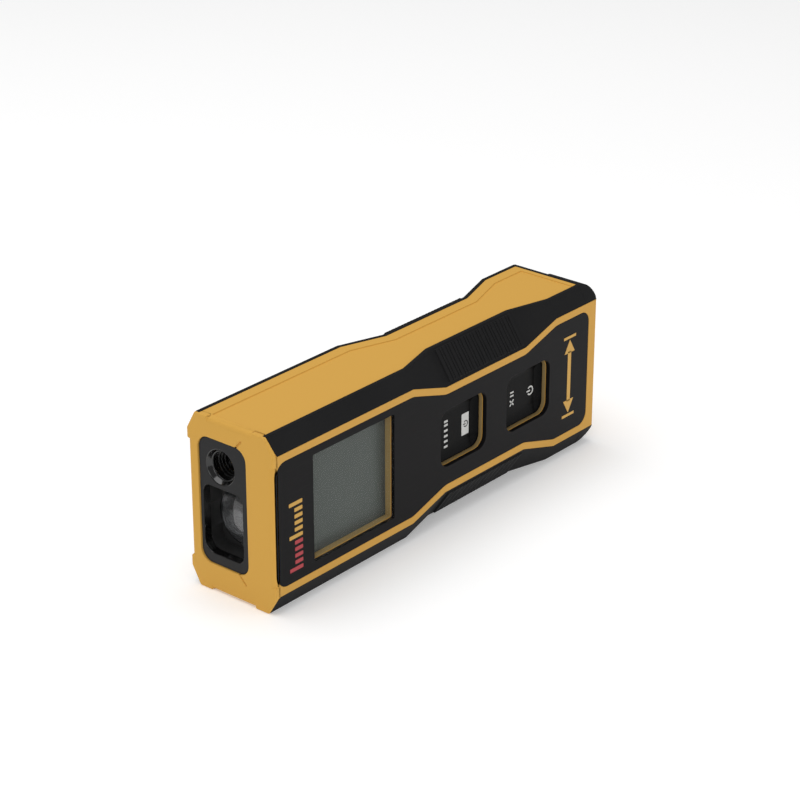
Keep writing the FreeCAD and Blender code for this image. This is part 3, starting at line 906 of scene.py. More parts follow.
@dataclass(frozen=True)
class FloorFinish(Surface):
    """Pale matt floor that glows slightly, so that it stays white under the lamps."""

    glow: float = 0.22

    def wire(self, tree: Tree, shader: Node) -> None:
        """Give the floor an even, slightly glowing colour.

        Args:
            tree: the material's tree.
            shader: its Principled BSDF.
        """
        feed(tree, shader, {"Base Color": ColourDrift.of(tree, self.colour, 3.0, 0.01),
                            "Roughness": self.roughness, "Emission Color": (1.0, 1.0, 1.0, 1.0),
                            "Emission Strength": self.glow})


def grey(level: float) -> Colour:
    """Neutral colour of one level."""
    return (level, level, level)


YELLOW = (0.58, 0.268, 0.02)
PALE_YELLOW = (0.64, 0.34, 0.05)
YELLOW_SHELL = Finish("yellow_shell", YELLOW, 0.45, grain=0.25, depth=0.006, worn=PALE_YELLOW, wear=0.35,
                      dust=0.01, specular=0.1)
YELLOW_SOFT = Finish("yellow_soft", YELLOW, 0.52, grain=0.3, depth=0.008, worn=PALE_YELLOW, wear=0.3,
                     dust=0.01, specular=0.08)
# Darker olive yellow for the walls in the display and key openings: painted shade in these recesses, since
# the walls are the housing's own yellow plastic.
SHADED_YELLOW_WALL = Finish("yellow_wall", (0.34, 0.235, 0.095), 0.5, grain=0.25, depth=0.006, worn=PALE_YELLOW,
                     wear=0.1)
RUBBER = Finish("grip_rubber", (0.009, 0.009, 0.0095), 0.62, grain=0.35, depth=0.02, drift=0.15,
                worn=grey(0.04), wear=0.5, dust=0.012, scratches=0.05, specular=0.1)
PLATE = Finish("face_plate_satin", (0.0075, 0.0071, 0.0077), 0.4, grain=0.18, depth=0.004, drift=0.1,
               worn=grey(0.06), wear=0.4, scratches=0.08, dust=0.006, specular=0.07)
KEY_GLOSS = Finish("key_gloss", (0.002, 0.002, 0.0021), 0.25, grain=0.4, depth=0.002, drift=0.1,
                   worn=grey(0.05), wear=0.3, scratches=0.05, dust=0.005, specular=0.06)
BEZEL = Finish("bezel_gloss", (0.009, 0.009, 0.0095), 0.3, grain=0.4, depth=0.002, drift=0.1,
               worn=grey(0.06), wear=0.3, scratches=0.08, dust=0.015, specular=0.18)
RING_GLOSS = Finish("ring_gloss", grey(0.003), 0.12, grain=0.6, depth=0.001, wear=0.1, coat=0.4,
                    worn=grey(0.08), scratches=0.05, dust=0.02)
OPTICAL_BLACK = Finish("optical_black", (0.011, 0.012, 0.012), 0.55, grain=0.25, depth=0.008, drift=0.2,
                       worn=grey(0.05))
DISPLAY = Finish("display_glass", (0.072, 0.08, 0.075), 0.3, grain=0.5, depth=0.00005, drift=0.03, wear=0.0,
                 scratches=0.01, dust=0.01, specular=0.2)
DISPLAY_EDGE = Finish("display_edge", (0.05, 0.058, 0.05), 0.35, grain=0.12, depth=0.0006, wear=0.0,
                      scratches=0.0, dust=0.0)
INK_WHITE = Finish("ink_white", (0.62, 0.62, 0.6), 0.45, grain=0.12, depth=0.003, worn=grey(0.3))
INK_YELLOW = Finish("ink_yellow", (0.6, 0.33, 0.045), 0.45, grain=0.12, depth=0.003, worn=(0.2, 0.12, 0.03))
INK_RED = Finish("ink_red", (0.42, 0.025, 0.035), 0.45, grain=0.12, depth=0.003, worn=(0.15, 0.02, 0.02))
INK_BLACK = Finish("ink_black", grey(0.012), 0.4, grain=0.12, depth=0.003, worn=grey(0.05))
DIFFUSER = Finish("milky_diffuser", (0.7, 0.7, 0.66), grain=0.5, depth=0.002)
MOULDED_BLACK = Finish("moulded_black", (0.02, 0.02, 0.021), grain=0.22, depth=0.007, worn=grey(0.08))
FILM = Finish("amber_film", (0.42, 0.18, 0.03), 0.3, grain=0.8, depth=0.002, coat=0.3)
SILICONE = Finish("grey_silicone", (0.2, 0.2, 0.21), 0.6, grain=0.5, depth=0.006, dust=0.12)
DOME_STEEL = BrushedFinish("dome_steel", (0.55, 0.55, 0.56), 0.28, depth=0.002, worn=grey(0.7))
NICKEL = BrushedFinish("nickel", (0.62, 0.6, 0.56), 0.24, depth=0.001, worn=(0.75, 0.73, 0.7), scratches=0.2)
BRASS = BrushedFinish("turned_brass", (0.6, 0.4, 0.15), 0.26, depth=0.002, worn=(0.75, 0.55, 0.25),
                      along=(3000.0, 60.0, 60.0))
GOLD_CAN = BrushedFinish("gold_can", (0.75, 0.58, 0.28), 0.2, depth=0.001, worn=(0.8, 0.7, 0.45))
BLACK_STEEL = BrushedFinish("black_screw_steel", (0.09, 0.09, 0.095), 0.38, depth=0.003, worn=grey(0.45),
                            wear=0.6)
BOARD = BoardFinish("circuit_board", (0.012, 0.11, 0.045), 0.3, grain=0.6, depth=0.003, coat=0.3)
RESIN = Finish("chip_resin", (0.02, 0.02, 0.021), 0.6, grain=0.12, depth=0.004, dust=0.08)
SLEEVE = Finish("cell_sleeve", (0.03, 0.032, 0.036), 0.25, grain=0.7, depth=0.002, coat=0.4, wear=0.15)
SLEEVE_BAND = Finish("cell_band", (0.5, 0.2, 0.06), 0.25, metallic=0.6, grain=0.7, depth=0.002, coat=0.4)
PAPER = Finish("label_film", (0.45, 0.45, 0.44), 0.45, grain=0.15, depth=0.004, worn=grey(0.3),
               scratches=0.2)
LENS_CLEAR = ClearFinish("lens_clear", (0.9, 0.92, 0.95), 0.02, 1.62)
WINDOW_CLEAR = ClearFinish("window_clear", (0.97, 0.98, 0.97), 0.01, 1.06)
FLOOR = FloorFinish("pale_floor", grey(0.9), 0.9)


def dress(piece: Piece, finish: Surface) -> None:
    """Give all of a piece one finish."""
    piece.data.materials.clear()
    piece.data.materials.append(finish.material())


def dress_where(piece: Piece, finish: Surface, test: Test) -> None:
    """Give the faces that pass a test another finish.

    Args:
        piece: a piece that has a finish already.
        finish: the finish to add.
        test: takes a face's middle and normal, in mm on the working axes.
    """
    piece.data.materials.append(finish.material())
    slot = len(piece.data.materials) - 1
    for face in piece.data.polygons:
        if test(face.center, face.normal):
            face.material_index = slot


def settle(piece: Piece, body: Body, slot: str, *stands_for: str, finish: Surface | None = None) -> Piece:
    """Move a finished piece into the frame and fasten it to its body.

    Args:
        piece: the finished piece, in mm on the working axes.
        body: the body that it rides on.
        slot: the record's material slot; not used.
        stands_for: the CAD nodes that it replaces.
        finish: what it is dressed in first, if it isn't dressed yet.

    Returns:
        The piece, in metres.
    """
    if finish:
        dress(piece, finish)
    modified(piece, "WEIGHTED_NORMAL", keep_sharp=True)
    piece.data.transform(TO_FRAME)
    piece.data.update()
    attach(piece, body.value)
    if stands_for:
        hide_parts(*stands_for)
    LOG.info("%-26s %6d faces, on %s", piece.name, len(piece.data.polygons), body.value)
    return piece


def keep(**finishes: Surface) -> None:
    """Dress the CAD nodes that stay as they are."""
    for node, finish in finishes.items():
        dress(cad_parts[node], finish)
        LOG.info("%-26s kept from the frame", node)


def refined(node: str, name: str, width: float) -> Piece:
    """Copy a CAD node's mesh to the working axes, and round its edges.

    Args:
        node: the CAD node.
        name: the new piece's name.
        width: width of the rounding, in mm.

    Returns:
        The softened copy, in mm.
    """
    piece = copied(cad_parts[node], name, TO_FRAME.inverted())
    piece.parent = None
    for key in list(piece.keys()):
        if key.startswith("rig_"):
            del piece[key]
    piece.hide_render = False
    with editing(piece):
        everywhere(bpy.ops.mesh.remove_doubles, threshold=MERGE / 2)
    return soften(piece, width)


# ---- outer form ------------------------------------------------------------------------------
@dataclass(frozen=True)
class Form:
    """Sizes that the casing, the jacket and the grips share, in mm."""

    stations: tuple[float, float, float, float] = (46.0, 57.5, 87.0, 98.8)
    flat_half: float = 16.7
    narrowing: float = 3.5
    front_edge: float = 3.2
    rear_edge: float = 3.4
    land: float = 1.0
    front_drop: float = 3.1
    rear_drop: float = 3.8
    jacket: float = 1.2
    grip_tail: float = 110.6
    tail_radius: float = 3.8
    tail_bevel: float = 2.3
    rear_step: float = 0.6
    plate_u: Flat = (1.0, 111.9)
    plate_half: float = 14.9
    plate_corner: float = 3.0
    plate_bend: float = 6.0            # radius where the plate's edge turns at the waist
    mouth_round: float = 0.6           # the tail's front edge

    def side(self, is_rear: bool, depth: float) -> float:
        """Turn a depth under the front or the rear face into d."""
        return THICKNESS - depth if is_rear else depth

    def edge(self, is_rear: bool) -> float:
        """Depth of a grip's edge on the side face, away from the waist."""
        return self.rear_edge if is_rear else self.front_edge

    def drop(self, is_rear: bool) -> float:
        """How much deeper that edge lies at the waist, as a change of d."""
        return -self.rear_drop if is_rear else self.front_drop

    def waisted(self, ends: Flat, half: float) -> list[Flat]:
        """Outline on the display face that narrows at the waist.

        Args:
            ends: its two ends along u, in mm.
            half: half its width away from the waist.

        Returns:
            The corners, as u and h.
        """
        first, second, third, fourth = self.stations
        thin = half - self.narrowing
        upper = [(ends[1], half), (fourth, half), (third, thin), (second, thin), (first, half),
                 (ends[0], half)]
        return [(u, -h) for u, h in reversed(upper)] + upper

    def plate_outline(self, margin: float = 0.0) -> list[Flat]:
        """Rounded outline of the face plate, grown by a margin."""
        corner = self.plate_corner
        radii = [corner, *[self.plate_bend] * 4, corner]
        ends = (self.plate_u[0] - margin, self.plate_u[1] + margin)
        return rounded(self.waisted(ends, self.plate_half + margin), radii + radii, 6)

    def edge_line(self, is_rear: bool, start: float, end: float, inset: float = 0.0) -> list[Flat]:
        """Line on the side face along a grip's edge.

        Args:
            is_rear: whether it is a rear grip's edge.
            start: u where the line starts.
            end: u where it ends.
            inset: how much deeper than the edge it runs.

        Returns:
            The line's points, as u and d.
        """
        first, second, third, fourth = self.stations
        wide, deep = self.edge(is_rear) + inset, self.edge(is_rear) + abs(self.drop(is_rear)) + inset
        line = [(start, wide), (first, wide), (second, deep), (third, deep), (fourth, wide), (end, wide)]
        return [(u, self.side(is_rear, depth)) for u, depth in line]

    def section(self, sink: float = 0.0) -> list[Flat]:
        """Bevelled outline of the meter across its length, away from the waist.

        Args:
            sink: how far the outline lies inside the meter's, in mm.

        Returns:
            The corners, as d and h.
        """
        front, rear = self.front_edge - self.land, THICKNESS - self.rear_edge + self.land
        half, flat = HALF_WIDTH - sink, self.flat_half - sink / 2
        upper = [(THICKNESS - sink, flat), (rear, half), (front, half), (sink, flat)]
        return [(sink, -flat), (front, -half), (rear, -half), (THICKNESS - sink, -flat)] + upper

    def ends(self, tail: float) -> list[Flat]:
        """Outline on the display face from before the lens end to a rounded tail."""
        radius = self.tail_radius
        return rounded(rectangle((-1, tail), (-HALF_WIDTH, HALF_WIDTH)), [0.0, radius, radius, 0.0], 12)

    def envelope(self, is_rear: bool) -> Piece:
        """Solid that bounds one half, with its rounded tail corners and its bevelled rear edge.

        Args:
            is_rear: whether it is the rear half.

        Returns:
            The solid.
        """
        tail = LENGTH - (self.rear_step if is_rear else 0.0)
        low, high = sorted((self.side(is_rear, -1), PARTING))
        form = slab("envelope", self.ends(tail), Plane.FACE, low, high)
        bevel = self.tail_bevel
        plan = [(-1, -1), (tail, -1), (tail, THICKNESS - bevel), (tail - bevel, THICKNESS), (-1, THICKNESS)]
        if not is_rear:
            plan = rounded(rectangle((-1, tail), (0, PARTING + 1)), [0.0, self.mouth_round, 0.0, 0.0], 4)
        return combine(form, slab("plan", plan, Plane.SIDE, -WIDTH, WIDTH), Join.CLIP)


FORM = Form()


@dataclass
class Grips:
    """Rubber strips on the four long edges, ribbed at the waist."""

    thick: float = 1.2
    rib_count: int = 13
    rib_pitch: float = 2.2
    rib_width: float = 1.3
    rib_height: float = 0.45
    rib_start: float = 59.0
    rib_ends: Flat = (13.85, 20.55)
    rib_taper: float = 0.1
    begin: float = 0.2                 # u of the strip's start, before it is slanted
    tip: Flat = (0.6, 1.5)             # u of the slanted start, on the side and on the flat face
    rounding: float = 0.13

    def strip(self, is_rear: bool) -> Piece:
        """Bare strip with the waist's bevel, before its ends are shaped.

        Args:
            is_rear: whether it is the strip of the rear half.

        Returns:
            The strip of the upper edge.
        """
        edge, half = FORM.edge(is_rear), FORM.flat_half
        section = [(0, half), (edge - FORM.land, HALF_WIDTH), (edge, HALF_WIDTH),
                   (edge, HALF_WIDTH - self.thick), (self.thick, half)]
        points = [(FORM.side(is_rear, depth), h) for depth, h in section]
        strip = slab("grip", points, Plane.END, self.begin, LENGTH)
        for u in [*FORM.stations, *self.rib_edges()]:
            bisect(strip, ALONG_U * u, ALONG_U)
        start, end = FORM.stations[1] - NEAR, FORM.stations[2] + NEAR
        middle = half + 2
        shift(strip, lambda p, n: start < p.x < end and p.z > middle, (0, FORM.drop(is_rear), 0))
        shift(strip, lambda p, n: start < p.x < end and p.z < middle, (0, 0, -FORM.narrowing))
        slope = (HALF_WIDTH - half) / (self.tip[1] - self.tip[0])
        way = Vector((slope, 0, 1)).normalized()
        bisect(strip, Vector((self.tip[0], 0, HALF_WIDTH)), way, trim=True)
        return strip

    def rib_edges(self) -> list[float]:
        """Places along u where the ribs start and end."""
        starts = [self.rib_start + index * self.rib_pitch for index in range(self.rib_count)]
        return [start + offset for start in starts for offset in (0.0, self.rib_width)]

    def raise_ribs(self, strip: Piece, is_rear: bool) -> None:
        """Raise the ribs out of the waist's slope.

        Args:
            strip: the bare strip.
            is_rear: whether it is the strip of the rear half.
        """
        for h in self.rib_ends:
            bisect(strip, Vector((0, 0, h)), Vector((0, 0, 1)))
        outward = 1 if is_rear else -1
        low, high = self.rib_ends

        def on_rib(place: Vector, way: Vector) -> bool:
            """Whether a face is a rib's base on the slope."""
            step = (place.x - self.rib_start) % self.rib_pitch
            inside = 0 < place.x - self.rib_start < self.rib_count * self.rib_pitch
            on_slope = way.z > 0.2 and way.y * outward > 0.2
            return inside and step < self.rib_width and on_slope and low < place.z < high
        with editing(strip):
            pick(strip, Kind.FACE, on_rib)
            bpy.ops.mesh.inset(thickness=self.rib_taper, depth=self.rib_height, use_individual=True)

    def build(self) -> None:
        """Build the front and the rear strip, and mirror each to the lower edge."""
        for is_rear, half in ((False, "front"), (True, "rear")):
            strip = self.strip(is_rear)
            self.raise_ribs(strip, is_rear)
            reach = FORM.edge(is_rear) - FORM.land
            end = [(0, FORM.flat_half), (reach, HALF_WIDTH), (PARTING, HALF_WIDTH), (PARTING, FORM.flat_half)]
            points = [(FORM.side(is_rear, depth), h) for depth, h in end]
            combine(strip, slab("end", points, Plane.END, FORM.grip_tail, LENGTH), Join.WELD)
            combine(strip, FORM.envelope(is_rear), Join.CLIP)
            merged(strip)
            soften(strip, self.rounding, angle=28)
            dress(strip, RUBBER)
            strip.name = f"{half}_upper_grip"
            twin = copied(strip, f"{half}_lower_grip", ACROSS)
            settle(strip, Body.HOUSING, "black_rubber", f"grip_{half}_upper")
            settle(twin, Body.HOUSING, "black_rubber", f"grip_{half}_lower")


SEAT_GAP = 0.04                    # play round the plate and the bezel in the jacket, in mm


@dataclass
class Jacket:
    """Soft yellow bumper round the lens end, with the two side panels."""

    wall_end: float = 1.3
    middle_bevel: float = 1.4
    block_round: float = 0.35
    sink: float = 0.35                 # how far the side panels lie below their rim
    block_d: float = 6.0
    block_h: float = 6.8
    crease_inset: float = 2.9          # from the rear grip's edge to the crease
    crease_end: float = 109.2
    seam_width: float = 0.32
    seam_depth: float = 0.4
    panel_start: float = 0.65
    rounding: float = 0.24
    seams: tuple[tuple[Flat, Flat], ...] = (((11.1, 15.6), (9.0, 18.0)), ((10.9, -14.0), (8.6, -16.4)))

    def end_wall(self) -> Piece:
        """Wall at the lens end: bevelled between its four corner blocks."""
        wall = slab("end_wall", FORM.section(), Plane.END, 0.0, self.wall_end + self.seam_depth)
        self.round_face(wall, self.middle_bevel, 2)
        blocks = slab("blocks", FORM.section(), Plane.END, 0.0, self.wall_end)
        self.round_face(blocks, self.block_round, 4)
        reach_d, reach_h = THICKNESS - self.block_d, HALF_WIDTH - self.block_h
        for d, h in (((self.block_d, reach_d), (-WIDTH, WIDTH)), ((-1, THICKNESS + 1), (-reach_h, reach_h))):
            combine(blocks, block("gap", (-1, 9), d, h), Join.CARVE)
        return combine(wall, blocks, Join.WELD)

    def round_face(self, wall: Piece, width: float, segments: int) -> None:
        """Bevel the rim of a slab's face at the lens end.

        Args:
            wall: the slab.
            width: the bevel's width, in mm.
            segments: facets across the bevel.
        """
        with editing(wall, Kind.EDGE):
            pick(wall, Kind.EDGE, lambda p, w: p.x < NEAR)
            bpy.ops.mesh.bevel(offset=width, segments=segments)

    def panel(self) -> Piece:
        """Upper side panel, with its sunk middle that leaves a rim along the rear and the tail."""
        outline = FORM.edge_line(False, self.panel_start, FORM.grip_tail)
        outline += reversed(FORM.edge_line(True, self.panel_start, FORM.grip_tail))
        panel = slab("panel", outline, Plane.SIDE, HALF_WIDTH - FORM.jacket, HALF_WIDTH)
        end, tail, d = self.wall_end, self.crease_end, self.block_d
        rear = FORM.edge_line(True, end, tail, self.crease_inset)
        front = [(tail, 0), (end, 0), (end, d), (-1, d)]
        sunk = [(-1, THICKNESS - d), (end, THICKNESS - d), *rear, *front]
        return cut(panel, sunk, Plane.SIDE, HALF_WIDTH - self.sink, HALF_WIDTH + 1)

    def build(self, grips: Grips, optics_hole: list[Flat]) -> None:
        """Weld the wall and the panels, and cut the seats of the plate, the grips and the optics.

        Args:
            grips: the strips that lie in the jacket's corners.
            optics_hole: outline of the optics' bezel on the end face.
        """
        jacket = self.end_wall()
        self.both_sides(jacket, self.panel(), Join.WELD)
        cut(jacket, optics_hole, Plane.END, -1, 3)
        cut(jacket, FORM.plate_outline(SEAT_GAP), Plane.FACE, -1, 1.2)
        for is_rear in (False, True):
            self.both_sides(jacket, grips.strip(is_rear), Join.CARVE)
        for start, end in self.seams:
            cut(jacket, stroke(start, end, self.seam_width), Plane.END, -1, self.seam_depth)
        combine(jacket, slab("ends", FORM.ends(LENGTH), Plane.FACE, -1, THICKNESS + 1), Join.CLIP)
        jacket.name = "jacket_moulding"
        soften(merged(jacket), self.rounding, angle=25)
        settle(jacket, Body.HOUSING, "yellow_soft", "soft_jacket", finish=YELLOW_SOFT)

    def both_sides(self, jacket: Piece, tool: Piece, how: Join) -> None:
        """Combine the jacket with a solid and with its mirror image.

        Args:
            jacket: the solid to change.
            tool: the solid on the upper side.
            how: the way they are combined.
        """
        twin = copied(tool, "twin", ACROSS)
        for side in (tool, twin):
            combine(jacket, side, how)


@dataclass
class Casing:
    """Hard housing halves."""

    rounding: float = 0.12
    wells: tuple[Flat, ...] = ((12.0, 40.0), (55.0, 97.0))     # reach of the openings along u
    well_d: Flat = (1.3, 4.5)
    well_half: float = 13.5

    def in_well(self, place: Vector, way: Vector) -> bool:
        """Whether a face is a wall of the display's or a key's opening, where the walls get painted shade."""
        if abs(way.y) >= FACING or abs(place.z) >= self.well_half:
            return False
        beside = any(low < place.x < high for low, high in self.wells)
        return beside and self.well_d[0] < place.y < self.well_d[1]

    def build(self) -> None:
        """Round the edges of both halves, and paint shade on the walls of their display and key openings."""
        for half in ("front", "rear"):
            shell = refined(f"{half}_housing", f"{half}_shell", self.rounding)
            dress(shell, YELLOW_SHELL)
            # The walls of the display and key openings get painted shade: a darker olive yellow.
            dress_where(shell, SHADED_YELLOW_WALL, self.in_well)
            settle(shell, Body.HOUSING, "yellow_shell", f"{half}_housing")


@dataclass
class Mark:
    """Printed marks, each a thin layer of ink."""

    ink: float = 0.05
    proud: float = 0.03                # how far the ink stands out of its ground

    def print_on(self, name: str, outlines: list[list[Flat]], depth: float, body: Body,
                 finish: Finish) -> None:
        """Lay ink in the shape of some outlines.

        Args:
            name: the mark's name.
            outlines: flat outlines as u and h.
            depth: d of the face that it is printed on.
            body: the body that carries it.
            finish: the ink.
        """
        face = depth - self.proud
        layers = [slab(name, points, Plane.FACE, face, face + self.ink) for points in outlines]
        settle(joined(layers, name), body, "label", finish=finish)


MARK = Mark()


@dataclass
class FacePlate:
    """Dark plate with the display window, the key openings and two generic marks."""

    thick: float = 1.2
    recess: float = 0.05
    window_u: Flat = (12.7, 39.4)
    window_h: Flat = (-12.6, 13.0)
    window_corner: float = 0.35
    window_gap: float = 0.02
    window_drop: float = 0.1
    rounding: float = 0.1
    ruler_u: float = 9.0               # foot line of the ruler mark
    ruler_h: Flat = (-12.3, 4.3)
    ruler_bars: int = 11
    ruler_bar: float = 0.9
    ruler_tall: float = 4.2            # each fifth bar
    ruler_short: float = 2.5
    ruler_red: int = 5                 # how many bars are red
    arrow_u: Flat = (102.0, 106.8)
    arrow_h: Flat = (-10.7, 10.5)
    arrow_bar: float = 0.7
    arrow_gap: float = 0.3
    arrow_head: Flat = (3.4, 0.4)      # its length, and how much narrower than the bars it is
    arrow_shaft: float = 0.65

    def plate(self, keys: "Keys") -> None:
        """Cut the plate with its openings, for the window and the given keys."""
        plate = slab("face_plate", FORM.plate_outline(), Plane.FACE, self.recess, self.thick)
        window = rounded(rectangle(self.window_u, self.window_h), self.window_corner, 4)
        for opening in (window, *(keys.outline(key.middle, 0.0) for key in keys.specs)):
            cut(plate, opening, Plane.FACE, -1, 3)
        soften(merged(plate), self.rounding, angle=40)
        settle(plate, Body.HOUSING, "charcoal_plate", "front_plate", finish=PLATE)

    def window(self) -> None:
        """Clear sheet in the display opening."""
        gap = self.window_gap
        u, h = ((low + gap, high - gap) for low, high in (self.window_u, self.window_h))
        outline = rounded(rectangle(u, h), self.window_corner - gap, 4)
        pane = slab("window_pane", outline, Plane.FACE, self.recess + self.window_drop, self.thick)
        soften(pane, 0.08, angle=40)
        settle(pane, Body.HOUSING, "clear_window", "display_window", finish=WINDOW_CLEAR)

    def ruler(self) -> None:
        """Scale of tick bars beside the window, its lower part red."""
        (first, last), foot = self.ruler_h, self.ruler_u
        pitch = (last - first - self.ruler_bar) / (self.ruler_bars - 1)
        bars = []
        for index in range(self.ruler_bars):
            low = first + index * pitch
            reach = self.ruler_short if index % 5 else self.ruler_tall
            bars.append(rounded(rectangle((foot - reach, foot), (low, low + self.ruler_bar)), 0.15, 3))
        red, rest = bars[:self.ruler_red], bars[self.ruler_red:]
        MARK.print_on("ruler_mark_red", red, self.recess, Body.HOUSING, INK_RED)
        MARK.print_on("ruler_mark_yellow", rest, self.recess, Body.HOUSING, INK_YELLOW)

    def arrow(self) -> None:
        """Double dimension arrow between two end bars, beside the tail."""
        (u0, u1), (low, high) = self.arrow_u, self.arrow_h
        middle, bar, shaft, (head, slim) = (u0 + u1) / 2, self.arrow_bar, self.arrow_shaft, self.arrow_head
        outlines = [rectangle((u0, u1), (low, low + bar)), rectangle((u0, u1), (high - bar, high))]
        for tip, way in ((low + bar + self.arrow_gap, 1), (high - bar - self.arrow_gap, -1)):
            foot = tip + way * head
            outlines.append([(middle, tip), (u1 - slim, foot), (u0 + slim, foot)])
        ends = (low + bar + head, high - bar - head)
        outlines.append(rectangle((middle - shaft, middle + shaft), ends))
        MARK.print_on("dimension_arrow", outlines, self.recess, Body.HOUSING, INK_YELLOW)

    def build(self, keys: "Keys") -> None:
        """Build the plate, its window and its marks."""
        self.plate(keys)
        self.window()
        self.ruler()
        self.arrow()


@dataclass(frozen=True)
class KeySpec:
    """Place and body of one key."""

    name: str
    middle: float
    body: Body


@dataclass
class Keys:
    """Hard key caps with dished faces and printed symbols."""

    specs: tuple[KeySpec, ...] = (KeySpec("measure_key", 64.05, Body.MEASURE_KEY),
                                  KeySpec("clear_key", 88.3, Body.CLEAR_KEY))
    middle_h: float = 0.3
    opening: Flat = (16.6, 14.3)
    corner: float = 2.8
    gap: float = 0.2
    top: float = 2.1
    flange: Flat = (3.2, 3.8)
    flange_reach: float = 0.9
    stem: Flat = (2.5, 2.0)
    stem_end: float = 6.0
    brim: float = 0.3
    borders: Flat = (1.1, 1.2)         # width of the border and of the dish's slope
    dish: Flat = (0.45, 0.1)           # drop at the border's foot and at the dish's floor
    rounding: float = 0.14
    tick_u: Flat = (60.0, 61.3)
    tick_h: tuple[float, ...] = (-3.8, -2.45, -1.1, 0.25, 1.6, 2.55)
    tick: float = 0.55
    field: tuple[Flat, Flat] = ((66.4, 69.0), (-3.0, 2.5))
    field_power: tuple[Flat, float] = ((67.85, -0.25), 0.85)
    cross_u: Flat = (84.6, 86.0)
    cross_h: Flat = (-1.9, -0.5)
    cross_stroke: float = 0.36
    bars_u: Flat = (84.65, 85.95)
    bars_h: tuple[Flat, Flat] = ((0.4, 0.8), (1.3, 1.7))
    clear_power: tuple[Flat, float] = ((92.4, -0.4), 1.2)

    def outline(self, middle: float, margin: float) -> list[Flat]:
        """Rounded outline of a key opening, grown or shrunk by a margin.

        Args:
            middle: u of the key's middle, in mm.
            margin: how far it is grown.

        Returns:
            The outline, as u and h.
        """
        half_u, half_h = (side / 2 + margin for side in self.opening)
        level = self.middle_h
        corners = rectangle((middle - half_u, middle + half_u), (level - half_h, level + half_h))
        return rounded(corners, self.corner + margin, 8)

    def cap(self, spec: KeySpec) -> None:
        """Key cap with its dish, its flange and its stem."""
        outline = self.outline(spec.middle, -self.gap)
        cap = slab(f"{spec.name}_cap", outline, Plane.FACE, self.top, self.flange[1])
        with editing(cap):
            pick(cap, Kind.FACE, lambda p, n: n.y < -FACING)
            bpy.ops.mesh.inset(thickness=self.brim)
            for thickness, drop in zip(self.borders, self.dish):
                bpy.ops.mesh.inset(thickness=thickness)
                bpy.ops.transform.translate(value=(0, drop, 0))
        soften(cap, self.rounding, angle=40)
        flange = slab("flange", self.outline(spec.middle, self.flange_reach), Plane.FACE, *self.flange)
        combine(cap, flange, Join.WELD)
        half_u, half_h = self.stem
        middle, level = spec.middle, self.middle_h
        stem = block("stem", (middle - half_u, middle + half_u), (self.flange[1] - 0.1, self.stem_end),
                     (level - half_h, level + half_h))
        combine(cap, stem, Join.WELD)
        smooth(cap, 35)
        settle(cap, spec.body, "key_black", spec.name, finish=KEY_GLOSS)

    def power_symbol(self, middle: Flat, radius: float) -> list[list[Flat]]:
        """Open ring with a bar, its opening towards the lens end.

        Args:
            middle: the ring's centre, as u and h.
            radius: its outer radius, in mm.

        Returns:
            The outlines of the ring and the bar.
        """
        width, span = radius * 0.32, (-140, 140)
        band = arc(middle, radius, span) + arc(middle, radius - width, span)[::-1]
        return [band, stroke((middle[0] - radius * 1.1, middle[1]), middle, width)]

    def print_symbols(self) -> None:
        """White bars and power symbols on the two keys."""
        floor = self.top + sum(self.dish)
        measure, clear = (spec.body for spec in self.specs)
        ticks = [rectangle(self.tick_u, (h, h + self.tick)) for h in self.tick_h]
        MARK.print_on("measure_ticks", ticks, floor, measure, INK_WHITE)
        MARK.print_on("measure_field", [rounded(rectangle(*self.field), 0.2, 3)], floor, measure, INK_WHITE)
        over_field = floor - 0.02
        MARK.print_on("measure_power", self.power_symbol(*self.field_power), over_field, measure, INK_BLACK)
        (u0, u1), (low, high) = self.cross_u, self.cross_h
        cross = [stroke((u0, h), (u1, low + high - h), self.cross_stroke) for h in (low, high)]
        cross += [rectangle(self.bars_u, h) for h in self.bars_h]
        MARK.print_on("clear_mark", cross, floor, clear, INK_WHITE)
        MARK.print_on("clear_power", self.power_symbol(*self.clear_power), floor, clear, INK_WHITE)

    def build(self) -> None:
        """Build both caps and their prints."""
        for spec in self.specs:
            self.cap(spec)
        self.print_symbols()
        keep(key_mat=SILICONE, dome_switches=DOME_STEEL)


@dataclass
class Display:
    """Reflective display behind the window."""

    u: Flat = (11.2, 41.0)
    half: float = 14.3
    depth: Flat = (3.0, 4.9)
    front_glass: float = 0.35          # how far the smaller front glass stands out
    glass_rim: float = 0.5
    seal: float = 1.6                  # width of the edge round the shown area

    def build(self) -> None:
        """Build the glass sandwich: a wide rear glass with a smaller front glass and film."""
        (front, back), stand = self.depth, self.front_glass
        glass = block("display_cell", self.u, (front + stand, back), (-self.half, self.half))
        with editing(glass):
            pick(glass, Kind.FACE, lambda p, n: n.y < -FACING)
            bpy.ops.mesh.inset(thickness=self.glass_rim)
            bpy.ops.mesh.extrude_region_move(TRANSFORM_OT_translate={"value": (0, -stand, 0)})
            bpy.ops.mesh.inset(thickness=self.seal)
        soften(glass, 0.06, angle=40)
        dress(glass, DISPLAY_EDGE)
        dress_where(glass, DISPLAY, lambda p, n: p.y < front + NEAR and n.y < -FACING)
        settle(glass, Body.HOUSING, "lcd", "lcd_glass")
        keep(backlight_panel=DIFFUSER, lcd_frame=MOULDED_BLACK, display_ribbon=FILM)


